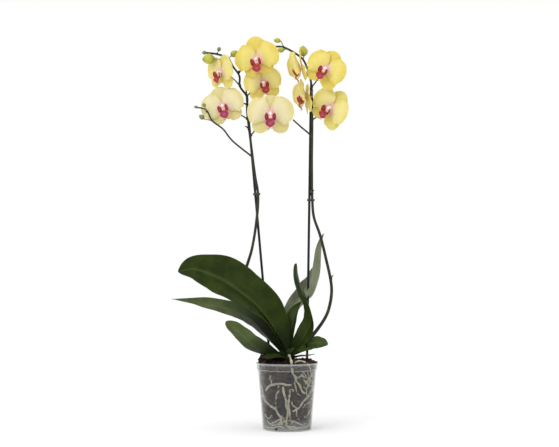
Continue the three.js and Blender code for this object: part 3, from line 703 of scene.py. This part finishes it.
def pot_look():
    """Clear plastic: a milky haze that thickens where the wall turns away, whiter at the foot, with
    bands of painted highlight at the ledge and rim, droplets and a gloss."""
    look = Look("clear_plastic")
    facing = look.node("LayerWeight", {"Blend": 0.5}).outputs["Facing"]
    haze = look.ramp(facing, [
        (0, 0.01), (0.35, 0.025), (0.52, 0.07), (0.7, 0.13), (1, 0.32)], "LINEAR")
    haze = look.times(haze, look.ramp(look.noise(60, 4), [(0.3, 0.75), (0.7, 1.35)]))
    height = look.node("SeparateXYZ", {0: look.place()}).outputs[2]
    # whiter at the foot, and at the ledge and rim bright bands of milky white that are painted highlight
    foot_and_painted_rim_bands = look.ramp(look.math("DIVIDE", height, POT_HEIGHT * MM), [
        (0, 0.2), (0.09, 0.09), (0.18, 0), (0.882, 0), (0.893, 0.22), (0.905, 0.01),
        (0.965, 0.04), (0.985, 0.26)], "LINEAR")
    haze = look.math("ADD", haze, foot_and_painted_rim_bands, clamp=True)
    clear = look.node("BsdfTransparent", {"Color": (0.93, 0.94, 0.93, 1)}).outputs[0]
    milk = look.node("BsdfDiffuse", {"Color": srgb(214, 216, 212)}).outputs[0]
    droplets = look.bump(look.noise(520, 2), 0.0004, 0.12)
    shine = look.node("BsdfGlossy", {"Roughness": 0.12, "Normal": droplets}).outputs[0]
    glint = look.math("ADD", look.times(look.math("POWER", facing, 5.0), 0.7), 0.025)
    return look.done(look.join(glint, look.join(haze, clear, milk), shine))


def stake_look():
    look = Look("stake")
    worn = look.noise(160, 4, rough=0.6)
    colour = look.ramp(worn, [(0.4, (12, 12, 11)), (0.75, (28, 28, 26))])
    rough = look.ramp(worn, [(0.3, 0.36), (0.7, 0.5)])
    return look.finish(colour, rough, (look.noise(900, 2), 0.0003, 0.3), 0.25)


def floor_look():
    look = Look("floor")
    colour = look.ramp(look.noise(3, 2), [(0.3, (250, 250, 250)), (0.7, (252, 252, 252))])
    return look.done(look.node("BsdfPrincipled", {
        "Base Color": colour, "Roughness": 0.8, "Specular IOR Level": 0.1}).outputs[0])


# ---- Pot, bark and roots ----

def wall_radius(z):
    """The pot's outer radius at a height, below its ledge."""
    share = np.clip((z - POT_CORNER) / (POT_NECK_Z - POT_CORNER), 0, 1)
    return POT_FOOT_RADIUS + (POT_NECK_RADIUS - POT_FOOT_RADIUS) * share


def on_wall(degrees, z, depth):
    """A point that deep inside the pot's outer face."""
    angle = math.radians(degrees)
    radius = wall_radius(z) - depth
    return (radius * math.sin(angle), -radius * math.cos(angle), z)


def make_pot(look):
    foot, rim, ledge, top = POT_FOOT_RADIUS, POT_RIM_RADIUS, POT_NECK_Z, POT_HEIGHT
    outside = POT_COLLAR_RADIUS
    inside = outside - POT_WALL
    wall = [(wall_radius(z), z) for z in np.linspace(POT_CORNER, POT_NECK_Z, 14)]
    inner = [(r - POT_WALL, z) for r, z in wall[::-1]]
    profile = [
        (0.01, 0), (foot * 0.5, 0), (foot - POT_CORNER, 0), (foot - 1.3, 0.25), (foot - 0.4, 1.1),
        *wall,
        (POT_NECK_RADIUS + 0.5, ledge + 0.2), (outside - 0.3, ledge + 1.1), (outside, ledge + 1.7),
        (outside + 0.3, top - 6), (outside + 0.5, top - 3.2), (rim - 0.4, top - 2.9),
        (rim, top - 2.4), (rim, top - 0.6), (rim - 0.5, top), (inside + 1, top),
        (inside + 0.5, top - 0.6), (inside + 0.2, top - 6), (inside, ledge + 2.8),
        (inside - 0.5, ledge + 1.9), (POT_NECK_RADIUS - POT_WALL + 0.3, ledge + 0.9),
        *inner,
        (foot - POT_CORNER - 0.6, POT_WALL), (foot * 0.5, POT_WALL), (0.01, POT_WALL),
    ]
    shape = Shape()
    shape.skin(lathe_rings(profile, 120), even(121), even(len(profile)))
    pot = shape.piece("pot_clear", [look], "pot", "clear_plastic", sharp=35)
    for number, degrees in enumerate(DRAIN_ANGLES):
        drain = Shape()
        way = Vector((math.sin(math.radians(degrees)), -math.cos(math.radians(degrees)), 0))
        centre = np.array(way * foot) + (0, 0, DRAIN_RADIUS + 2.2)
        reach = np.array(way * 6)
        drain.tube([centre - reach, centre, centre + reach], [DRAIN_RADIUS] * 2, 2, 20)
        cut_hole(pot, drain.mesh(f"drain_{number}"))


def cut_hole(piece, mesh):
    name = mesh.name
    cutter = add_object(name, mesh)
    hole = piece.modifiers.new(name, "BOOLEAN")
    hole.operation = "DIFFERENCE"
    hole.solver = "EXACT"
    hole.object = cutter
    with bpy.context.temp_override(object=piece, active_object=piece):
        bpy.ops.object.modifier_apply(modifier=name)
    bpy.data.objects.remove(cutter)
    bpy.data.meshes.remove(mesh)


def wall_route(route, radius):
    """The middle of a root that lies along the wall's inside."""
    return [on_wall(degrees, z, POT_WALL + ROOT_SETBACK + radius) for degrees, z in route]


def root_points(name):
    route = wander(random.Random(name + "_route"), WALL_ROOTS[name], 0.5)
    points = wall_route(route, ROOT_RADIUS)
    return AERIAL_ROOT + points if name == "root_aerial" else points


def wander(rng, route, bend=1):
    """A route on the wall with a small bend put in between each two of its points."""
    bent = [route[0]]
    for here, after in zip(route, route[1:]):
        bent.append(((here[0] + after[0]) / 2 + bend * rng.uniform(-3.5, 3.5),
                     (here[1] + after[1]) / 2 + bend * rng.uniform(-2.5, 2.5)))
        bent.append(after)
    return bent


def make_roots(look):
    for name in WALL_ROOTS:
        rng = random.Random(name)
        shape = Shape()
        points = root_points(name)
        swell = waves(rng, 4, 3, 12)
        shape.tube(points, [ROOT_RADIUS, ROOT_RADIUS, ROOT_RADIUS * 0.8],
                   len(points) * 9, 12, bumps=lambda t: 1 + 0.2 * swell(t))
        for radius, route in FINE_ROOTS[name]:
            fine = wall_route(wander(rng, route), radius + 0.2)
            wobble = waves(rng, 3, 3, 9)
            shape.tube(fine, [radius, radius, radius * 0.6],
                       len(route) * 12, 10, bumps=lambda t: 1 + 0.18 * wobble(t))
        if name == "root_aerial":
            radius = RIM_ROOT_RADIUS
            rim = RIM_ROOT + wall_route(RIM_ROOT_WALL, radius)
            shape.tube(rim, [radius, radius, radius * 0.7], 70, 12, bumps=lambda t: 1 + 0.12 * swell(t))
        shape.piece(name + "_skin", [look], name, "root", sharp=80)


def heap_height(x, y):
    """The substrate's top: a low dome, heaped up at its left and right front."""
    dome = BARK_TOP + BARK_DOME - BARK_DOME_FALL * (x * x + y * y)
    return dome + sum(high * math.exp(-((x - at_x) ** 2 + (y - at_y) ** 2) / wide)
                      for high, at_x, at_y, wide in HEAPS)


def add_chip(shape, rng, centre, turn, size):
    """One bark chip: a block whose corners and middles are knocked about."""
    grid = np.array([(x, y, z) for z in (-1, 0, 1) for x, y in (
        (-1, -1), (0, -1), (1, -1), (1, 0), (1, 1), (0, 1), (-1, 1), (-1, 0))], float)
    grid *= np.array([rng.uniform(0.8, 1.05) for _ in range(24)])[:, None]
    grid += np.array([[rng.uniform(-0.14, 0.14) for _ in range(3)] for _ in range(24)])
    grid[:8, :2] *= rng.uniform(0.6, 0.9)
    grid[16:, :2] *= rng.uniform(0.6, 0.9)
    points = grid * np.array(size) / 2 @ np.array(turn).T + np.array(centre)
    shape.skin(points.reshape(3, 8, 3), even(9), even(3))


def pressed(point):
    """A chip's corner, kept inside the pot."""
    x, y, z = point
    radius = wall_radius(z) if z < POT_NECK_Z else POT_COLLAR_RADIUS
    room = radius - POT_WALL - CHIP_GAP
    share = room / max(math.hypot(x, y), room) if z < POT_HEIGHT + 1 else 1
    return (x * share, y * share, max(z, POT_WALL + CHIP_GAP))


def make_bark(look):
    rng = random.Random("bark")
    shape = Shape()
    core = [(0.01, 2.5), (POT_FOOT_RADIUS - 8, 2.5)]
    core += [(wall_radius(z) - POT_WALL - 7, z) for z in np.linspace(6, POT_NECK_Z, 20)]
    core += [(r, heap_height(r, 0) - 8) for r in (44, 36, 24, 12, 0.01)]
    shape.skin(lathe_rings(core, 48), even(49), even(len(core)))
    roots = np.vstack([curve_table(root_points(name))[0] for name in WALL_ROOTS])
    for z in np.arange(7, POT_NECK_Z + 11, CHIP_ROW):
        turns = int(2 * math.pi * wall_radius(z) / 8.5)
        for step in range(turns):
            size = (rng.uniform(9, 16), rng.uniform(6, 10), rng.uniform(4, 6.5))
            degrees = 360 * (step + rng.uniform(-0.35, 0.35)) / turns
            height = z + rng.uniform(-2.5, 2.5)
            centre = np.array(on_wall(degrees, height, POT_WALL + 1.4 + size[2] / 2))
            if np.min(np.linalg.norm(roots - centre, axis=1)) < 7.5:
                centre = np.array(on_wall(degrees, height, POT_WALL + 5.8 + size[2] / 2))
            out = Matrix.Rotation(math.radians(degrees), 3, "Z") @ Matrix.Rotation(math.pi / 2, 3, "X")
            tilt = Matrix.Rotation(rng.uniform(-0.22, 0.22), 3, "X")
            spin = Matrix.Rotation(rng.uniform(0, math.pi), 3, "Z")
            add_chip(shape, rng, centre, out @ tilt @ spin, size)
    for _ in range(CHIPS_ON_TOP):
        angle = rng.uniform(0, 2 * math.pi)
        reach = CHIP_REACH * math.sqrt(rng.random())
        x, y = reach * math.cos(angle), reach * math.sin(angle)
        size = (rng.uniform(9, 17), rng.uniform(7, 11), rng.uniform(4, 7))
        centre = (x, y, heap_height(x, y) + rng.uniform(-7, 1.5))
        turn = (Matrix.Rotation(rng.uniform(0, 2 * math.pi), 3, "Z")
                @ Matrix.Rotation(rng.uniform(-0.7, 0.7), 3, "X")
                @ Matrix.Rotation(rng.uniform(-0.7, 0.7), 3, "Y"))
        if reach + 4 < POT_NECK_RADIUS or centre[2] < BARK_TOP - 1:
            add_chip(shape, rng, centre, turn, size)
    shape.points = [pressed(point) for point in shape.points]
    shape.piece("bark_chips", [look], "bark", "bark", sharp=25)


# ---- Crown, leaves, stakes and clips ----

def make_crown(look):
    """The stem, wrapped in the folded feet of its leaves."""
    shape = Shape()
    shape.tube(CROWN, CROWN_RADII, 24, 24, bumps=lambda t: 1 + 0.03 * np.sin(40 * t))
    for side, z in SHEATHS:
        spine = [(2 + side * 3, -9, z - 13), (2 + side * 7, -13, z), (2 + side * 13, -14, z + 13)]
        half = lambda t: SHEATH_WIDTH / 2 * outline(t, 0.7, 0.45, 0.5)
        shape.blade(spine, [(-side * 0.4, 0.9, 0.2)], half, [38], [1.8], 18, 12)
    shape.piece("crown_stem", [look], "crown", "crown", sharp=80)


def make_leaf(name, leaf, looks):
    rng = random.Random(name)
    shape = Shape()
    sway = waves(rng, 3, 0.8, 2.6)
    flutter = [waves(rng, 3, 2.5, 6.0) for _ in range(2)]
    uneven = [waves(rng, 2, 1.0, 3.0) for _ in range(2)]
    half_width = leaf["width"] / 2
    low, high = leaf["fold"]

    def relief(t, s):
        amount = half_width * outline(t, *leaf["shape"])
        free = np.clip(t * 1.6 - 0.2, 0, 1)
        side = np.where(s < 0, flutter[0](t), flutter[1](t))
        rib = -1.1 * np.exp(-(s / 0.07) ** 2) * (1 - t)
        return free * amount * (0.045 * sway(t) * s + 0.055 * np.abs(s) ** 3 * side) + rib

    shape.blade(
        leaf["spine"], leaf["up"], lambda t: half_width * outline(t, *leaf["shape"]),
        [low, high, high], [LEAF_THICKNESS * 1.25, LEAF_THICKNESS * 0.55], 72, 26, relief,
        lambda t, side: 1 + 0.025 * uneven[side > 0](t) * np.sin(np.pi * t), (0, 1))
    shape.piece(name + "_blade", looks, name, "leaf", sharp=60)


def stake_line(name):
    at, top = (np.array(p, float) for p in STAKES[name])
    line = (top - at) / np.linalg.norm(top - at)
    return at + line * (STAKE_FOOT_Z - at[2]) / line[2], top


def make_stake(name, look):
    foot, top = stake_line(name)
    shape = Shape()
    radii = [STAKE_RADIUS] * 60 + [STAKE_RADIUS * 0.85, STAKE_RADIUS * 0.45]
    shape.tube([foot, (foot + top) / 2, top], radii, 120, 20)
    shape.piece(name + "_rod", [look], name, "stake", sharp=70)


def make_clip(name, look):
    z, stake, stem = CLIPS[name]
    foot, top = stake_line(stake)
    rod = foot + (top - foot) * (z - foot[2]) / (top[2] - foot[2])
    across = np.array(stem) - rod
    reach = np.linalg.norm(across[:2]) / 2
    turn = math.atan2(across[1], across[0])
    ends = []
    for centre, start in ((reach, -90), (-reach, 90)):
        ends += [(centre, math.radians(start + step)) for step in range(0, 181, 15)]
    shape = Shape()
    rings = np.array([
        [(c + r * math.cos(a), r * math.sin(a), h) for r, h in CLIP_SECTION] for c, a in ends])
    spin = np.array(Matrix.Rotation(turn, 3, "Z"))
    rings = rings @ spin.T + rod + across / 2
    shape.skin(np.concatenate([rings, rings[:1]]), even(9), even(len(ends) + 1), capped=False)
    shape.piece(name + "_band", [look], name, "clip", sharp=35)


# ---- Spikes, buds and flowers ----

def facing(turn):
    """A flower's frame: +Z is the way it faces, +Y its top sepal's side."""
    yaw, nod, roll = (math.radians(a) for a in turn)
    out = Vector((math.sin(yaw) * math.cos(nod), -math.cos(yaw) * math.cos(nod), -math.sin(nod)))
    right = Vector((math.cos(yaw), math.sin(yaw), 0))
    basis = Matrix((right, out.cross(right), out)).transposed()
    return basis @ Matrix.Rotation(-roll, 3, "Z")


def pedicel_route(flower):
    at, turn, size, _, _, start, *_ = flower
    way = np.array(facing(turn) @ Vector((0, 0, 1)))
    end = np.array(at) - way * PEDICEL_REACH * size
    near = end - way * 8
    middle = (np.array(start) + near) / 2 + (0, -2, 2)
    return [start, middle, near, end]


def add_bract(shape, foot, reach):
    """A small pointed scale that clasps the stem."""
    foot = np.array(foot, float)
    reach = np.array(reach, float)
    spine = [foot - reach * 0.25 + (0, 0, -3), foot + reach * 0.35, foot + reach]
    up = np.cross(np.cross(reach, (0, 0, 1)), reach)
    shape.blade(spine, [up], lambda t: 4.2 * outline(t, 0.7, 0.3, 0.8), [50], [0.7], 12, 8)
    shape.tube([foot - (0, 0, 2.5), foot, foot + (0, 0, 2.5)], [1.6, 3.1, 1.6], 8, 12)


def make_spike(name, spike, looks):
    """Stem, side branch, bracts, and every stalk that grows from them."""
    rng = random.Random(name)
    shape = Shape()
    knots = waves(rng, 3, 4, 11)
    shape.tube(spike["stem"], STEM_RADII, len(spike["stem"]) * 9, 14, bumps=lambda t: 1 + 0.03 * knots(t))
    shape.tube(spike["branch"], BRANCH_RADII, len(spike["branch"]) * 8, 12)
    for foot, reach in spike["bracts"]:
        add_bract(shape, foot, reach)
    radius = PEDICEL_RADIUS
    for flower in FLOWERS.values():
        if flower[4] == name:
            shape.tube(pedicel_route(flower), [radius * 1.2, radius, radius, radius * 1.25], 30, 12, 1)
            shape.ball(flower[5], (2.9, 2.7, 3.2))
    for bud, (at, tip, size, start) in BUDS.items():
        if start is None or ("right" in bud) != (name == "spike_right"):
            continue
        way = np.array(Vector(tip).normalized())
        end = np.array(at) - way * (size[0] / 2 + 0.2)
        start = np.array(start, float)
        girth = size[1] / 10 if size[1] > FAT_BUD else BUD_STALK_RADIUS
        shape.tube([start, start + (end - start) * 0.6, end], [girth, girth * 0.85, girth], 16, 10, 1)
        shape.ball(start, (2.1, 2.0, 2.3))
    shape.piece(name + "_stems", looks, name, "spike", sharp=60)


def make_bud(name, bud, look, slot):
    """Three folded sepals, with a shallow groove where each two meet."""
    at, tip, (length, breadth), _ = bud
    t = (1 - np.cos(np.linspace(0, np.pi, 29))) / 2
    angle = np.linspace(0, 2 * np.pi, 48, endpoint=False)
    radius = breadth / 2 * np.sin(np.pi * t) ** 0.62 * (1.1 - 0.24 * t)
    groove = (np.mod(angle, 2 * np.pi / 3) - np.pi / 3) / 0.1
    fold = 0.035 * np.cos(3 * angle) - 0.075 * np.exp(-groove ** 2)
    reach = radius[:, None] * (1 + fold * np.sin(np.pi * t)[:, None])
    height = np.repeat((t - 0.5)[:, None] * length, len(angle), axis=1)
    rings = np.stack([reach * np.cos(angle), reach * np.sin(angle), height], axis=-1)
    shape = Shape()
    shape.skin(rings, even(49), t)
    turn = Vector((0, 0, 1)).rotation_difference(Vector(tip)).to_matrix().to_4x4()
    shape.placed(Matrix.Translation(at) @ turn)
    shape.piece(name + "_skin", [look], name, slot, sharp=70)


def around(degrees, reach, z):
    """A point of a flower, by its angle from the right, its reach and its height."""
    angle = math.radians(degrees)
    return (reach * math.cos(angle), reach * math.sin(angle), z)


def petal_blade(shape, rng, spine, breadth, form, thick, back, ruffle):
    """One petal or sepal. back bends its margins back, and ruffle waves them."""
    flutter = [waves(rng, 3, 1.2, 3.6) for _ in range(2)]
    uneven = [waves(rng, 4, 0.7, 4.2) for _ in range(2)]
    creases = waves(rng, 2, 2.0, 4.0)
    half = breadth / 2

    def relief(t, s):
        amount = half * outline(t, *form)
        side = np.where(s < 0, flutter[0](t), flutter[1](t))
        groove = -0.02 * np.exp(-(s / 0.09) ** 2) * (1 - t)
        curve = -back * s ** 2 + ruffle * np.abs(s) ** 2.5 * side * t + groove
        return amount * (curve + 0.012 * creases(s) * t * (1 - t))

    shape.blade(
        spine, [(0, 0, 1)], lambda t: half * outline(t, *form), [0], [thick * 1.3, thick * 0.6], 34, 26,
        relief, lambda t, side: 1 + 0.085 * uneven[side > 0](t) * np.sin(np.pi * t))


def add_sepals(shape, rng, lengths):
    for degrees, share in zip((90, -90 - LATERAL_ANGLE, -90 + LATERAL_ANGLE), lengths):
        turned = degrees + rng.uniform(-2.5, 2.5)
        length = SEPAL_LENGTH * share
        tip = -5 + rng.uniform(-2.0, 1.2)
        spine = [around(turned, 0, -2.2), around(turned, length * 0.5, -2.4),
                 around(turned + rng.uniform(-1, 1), length, tip)]
        breadth = SEPAL_BREADTH * (TOP_SEPAL_WIDENING if degrees == 90 else 1)
        petal_blade(shape, rng, spine, breadth, (0.35, 0.5, 0.5), 0.9, 0.06, 0.08)
    shape.tube([(0, 0, -5.2), (0, 0, -3), (0, 0, -1.4)], [1.9, 3.6], 4, 16)


def add_petals(shape, rng, cup):
    reach = math.sqrt(PETAL_LENGTH ** 2 - cup ** 2)
    for degrees in (PETAL_ANGLE, 180 - PETAL_ANGLE):
        turned = degrees + rng.uniform(-1.5, 1.5)
        spine = [around(turned, 0, 0.4), around(turned, reach * 0.5, 3 + cup * 0.3),
                 around(turned, reach, cup)]
        petal_blade(shape, rng, spine, PETAL_BREADTH, (0.2, 0.52, 0.48), 0.7, 0.07, 0.12)


def add_lip(shape, rng):
    """Column and cap, two side lobes beside it, and a middle lobe with its callus and tendrils."""
    shape.tube([(0, 1.5, 0.8), (0, 1.5, 5), (0, 0.8, 9.5)], [3, 3.5, 4, 3.4], 14, 18, 1)
    shape.ball((0, 0, 11.2), (3.1, 2.8, 2.2), 1)
    shape.ball((0, -7, 5.5), (3.6, 5.5, 2.6), 1)
    sway = rng.uniform(-0.6, 0.6)
    for side in (-1, 1):
        spine = [(side * 1.5, -12, 5), (side * 6, -11.5, 8), (side * 8.2, -6.5, 11),
                 (side * 7.8, -1, 13.5), (side * 5.6, 2.6, 14.5)]
        shape.blade(
            spine, [(-side * 0.3, 0.6, 0.75), (-side * 0.6, 0.2, 0.8), (-side * 0.7, -0.2, 0.7)],
            lambda t: 5.4 * outline(t, 0.45, 0.55, 0.4), [26, 18], [0.7], 22, 14)
    spine = [(0, -7.5, 5), (0, -11.5, 10), (sway, -17, 13), (sway, -22, 12.5), (sway, -26, 10)]
    arrow = lambda t: 10.5 * np.interp(t, [0, 0.2, 0.42, 0.6, 0.75, 0.9, 1],
                                       [0.3, 0.42, 0.92, 1, 0.72, 0.3, 0])
    shape.blade(spine, [(0, 0.9, 0.5), (0, 0.5, 0.9), (0, 0.2, 1)], arrow, [30, 8], [1], 30, 16,
                lambda t, s: -1.6 * s ** 2 * t)
    for side in (-1, 1):
        curl = [(sway + side * 0.8, -25, 10.2), (sway + side * 2.6, -27.2, 10.4),
                (sway + side * 4.6, -26.6, 12.4), (sway + side * 4.4, -24.8, 13.6)]
        shape.tube(curl, [0.55, 0.4, 0.2], 14, 8)
        shape.ball((side * 1.3, -8.2, 8.6), (1.5, 2, 1.5), 2)


def make_flower(name, flower, looks):
    at, turn, size, cup, _, _, tint, lengths = flower
    rng = random.Random(name)
    place = Matrix.Translation(at) @ facing(turn).to_4x4() @ Matrix.Scale(size, 4)
    sepals, petals, lip = Shape(), Shape(), Shape()
    add_sepals(sepals, rng, lengths)
    add_petals(petals, rng, cup)
    add_lip(lip, rng)
    lobes = looks["lip_cool" if tint == "cream" else "lip_warm"]
    for shape, part, kind, materials in (
            (sepals, "sepals", "sepal_blades", [looks["sepal_" + tint]]),
            (petals, "petals", "petal_blades", [looks["petal_" + tint]]),
            (lip, "lip", "lip_lobes", [lobes, looks["column"], looks["callus"]])):
        slot = part.rstrip("s")
        shape.placed(place).piece(f"{name}_{kind}", materials, f"{name}_{part}", slot, sharp=60)


# ---- Studio, in metres ----

CAMERA_AT = (-0.0146, -2.1, 0.2667)
CAMERA_PITCH = 3.578
CAMERA_LENS = 69.3
FLOOR_RADIUS = 9.0
AMBIENT = 0.78  # what the white surroundings give, beside what the camera sees of them
SUN_STRENGTH = 1.1
SUN_SPREAD = 90
SUN_WAY = (0.3, 0.5, -0.9)
# Each light: place, target, size in metres, power in watts.
LIGHTS = {
    "form": ((-1.4, -2.0, 1.9), (0, 0, 0.5), 0.8, 11),
    "fill": ((1.9, -1.2, 1.0), (0, 0, 0.4), 1.4, 3),
}


def make_camera():
    data = bpy.data.cameras.new("camera")
    data.lens = CAMERA_LENS
    data.clip_end = 60
    camera = add_object("camera", data)
    camera.location = CAMERA_AT
    camera.rotation_euler = (math.radians(90 + CAMERA_PITCH), 0, 0)
    bpy.context.scene.camera = camera


def make_floor():
    mesh = bpy.data.meshes.new("floor")
    disc = bmesh.new()
    bmesh.ops.create_circle(disc, cap_ends=True, segments=96, radius=FLOOR_RADIUS)
    disc.to_mesh(mesh)
    disc.free()
    mesh.materials.append(floor_look())
    add_object("floor", mesh)


def aim(light, way):
    light.rotation_euler = way.to_track_quat("-Z", "Y").to_euler()


def make_light(name, place, target, size, power):
    data = bpy.data.lights.new(name, "AREA")
    data.size = size
    data.energy = power
    light = add_object(name, data)
    light.location = place
    aim(light, Vector(target) - Vector(place))


def make_sun():
    """A large soft key from the upper left front, which also whitens the floor."""
    data = bpy.data.lights.new("key", "SUN")
    data.energy = SUN_STRENGTH
    data.angle = math.radians(SUN_SPREAD)
    aim(add_object("key", data), Vector(SUN_WAY))


def make_studio():
    scene = bpy.context.scene
    scene.view_settings.view_transform = "Standard"
    world = bpy.data.worlds.new("studio")
    world.use_nodes = True
    nodes, links = world.node_tree.nodes, world.node_tree.links
    background = nodes["Background"]
    background.inputs["Color"].default_value = (1, 1, 1, 1)
    rays = nodes.new("ShaderNodeLightPath")
    strength = nodes.new("ShaderNodeMapRange")
    strength.inputs["To Min"].default_value = AMBIENT
    links.new(rays.outputs["Is Camera Ray"], strength.inputs["Value"])
    links.new(strength.outputs["Result"], background.inputs["Strength"])
    scene.world = world
    make_sun()
    for name, light in LIGHTS.items():
        make_light(name, *light)
    make_camera()
    make_floor()


# ---- The plant ----

def petal_looks():
    tints = {
        "rich": ((231, 212, 98), (239, 227, 126), (252, 243, 228)),
        "mid": ((234, 222, 126), (241, 232, 158), (252, 242, 228)),
        # pale: painted light, the yellow lifted for the flowers that lie in shade or face away
        "pale": ((240, 225, 124), (247, 238, 160), (253, 245, 230)),
        "cream": ((229, 219, 154), (239, 231, 188), (250, 243, 234)),
    }
    looks = {}
    for tint, (margin, centre, throat) in tints.items():
        for kind, colours in (("petal_", (margin, centre, throat, (226, 150, 96))),
                              ("sepal_", (margin, margin, centre, (206, 150, 70)))):
            looks[kind + tint] = petal_look(kind + tint, *colours)
    return looks


def leaf_looks():
    """Upper sides: deep and fresh. Under sides: green and grey."""
    sides = {
        "deep": ((42, 56, 15), (27, 39, 8), (76, 90, 42), 0.34, 0.22),
        "fresh": ((66, 84, 26), (48, 63, 16), (94, 110, 50), 0.38, 0.25),
        # the last pair of green and grey is where their painted shade at the foot fades out
        "green": ((76, 90, 46), (58, 71, 33), (96, 108, 70), 0.5, 0.3, (0.25, 0.7)),
        "grey": ((124, 130, 104), (104, 111, 84), (140, 146, 122), 0.5, 0.3, (0, 0.5)),
    }
    return {name: leaf_look("leaf_" + name, *values) for name, values in sides.items()}


def lip_looks():
    return {
        "lip_warm": lip_look("lip_warm", (104, 8, 24), (168, 26, 40), (208, 92, 84),
                             (230, 128, 62)),
        "lip_cool": lip_look("lip_cool", (100, 8, 48), (156, 28, 78), (206, 108, 140),
                             (224, 132, 112)),
        "column": plain_look("column"),
        "callus": plain_look("callus"),
    }


def make_plant():
    make_pot(pot_look())
    make_bark(bark_look())
    make_roots(root_look())
    leaves = leaf_looks()
    make_crown(leaves["deep"])
    for name, leaf in LEAVES.items():
        under = "grey" if name in ("leaf_back", "leaf_tall") else "green"
        make_leaf(name, leaf, [leaves[leaf["tint"]], leaves[under]])
    stake = stake_look()
    clip = plain_look("clip")
    for name in STAKES:
        make_stake(name, stake)
    for name in CLIPS:
        make_clip(name, clip)
    spike_looks = [stem_look(), stalk_look("stalk", (66, 70, 44), (150, 156, 96))]
    for name, spike in SPIKES.items():
        make_spike(name, spike, spike_looks)
    ripe = bud_look("bud_skin", (128, 134, 42), (178, 176, 60), (150, 152, 54))
    green = bud_look("small_bud_skin", (88, 96, 56), (120, 126, 78), (104, 112, 66))
    for name, bud in BUDS.items():
        big = bud[2][0] > 12
        make_bud(name, bud, ripe if big else green, "bud" if big else "small_bud")
    looks = petal_looks() | lip_looks()
    for name, flower in FLOWERS.items():
        make_flower(name, flower, looks)


make_studio()
make_plant()
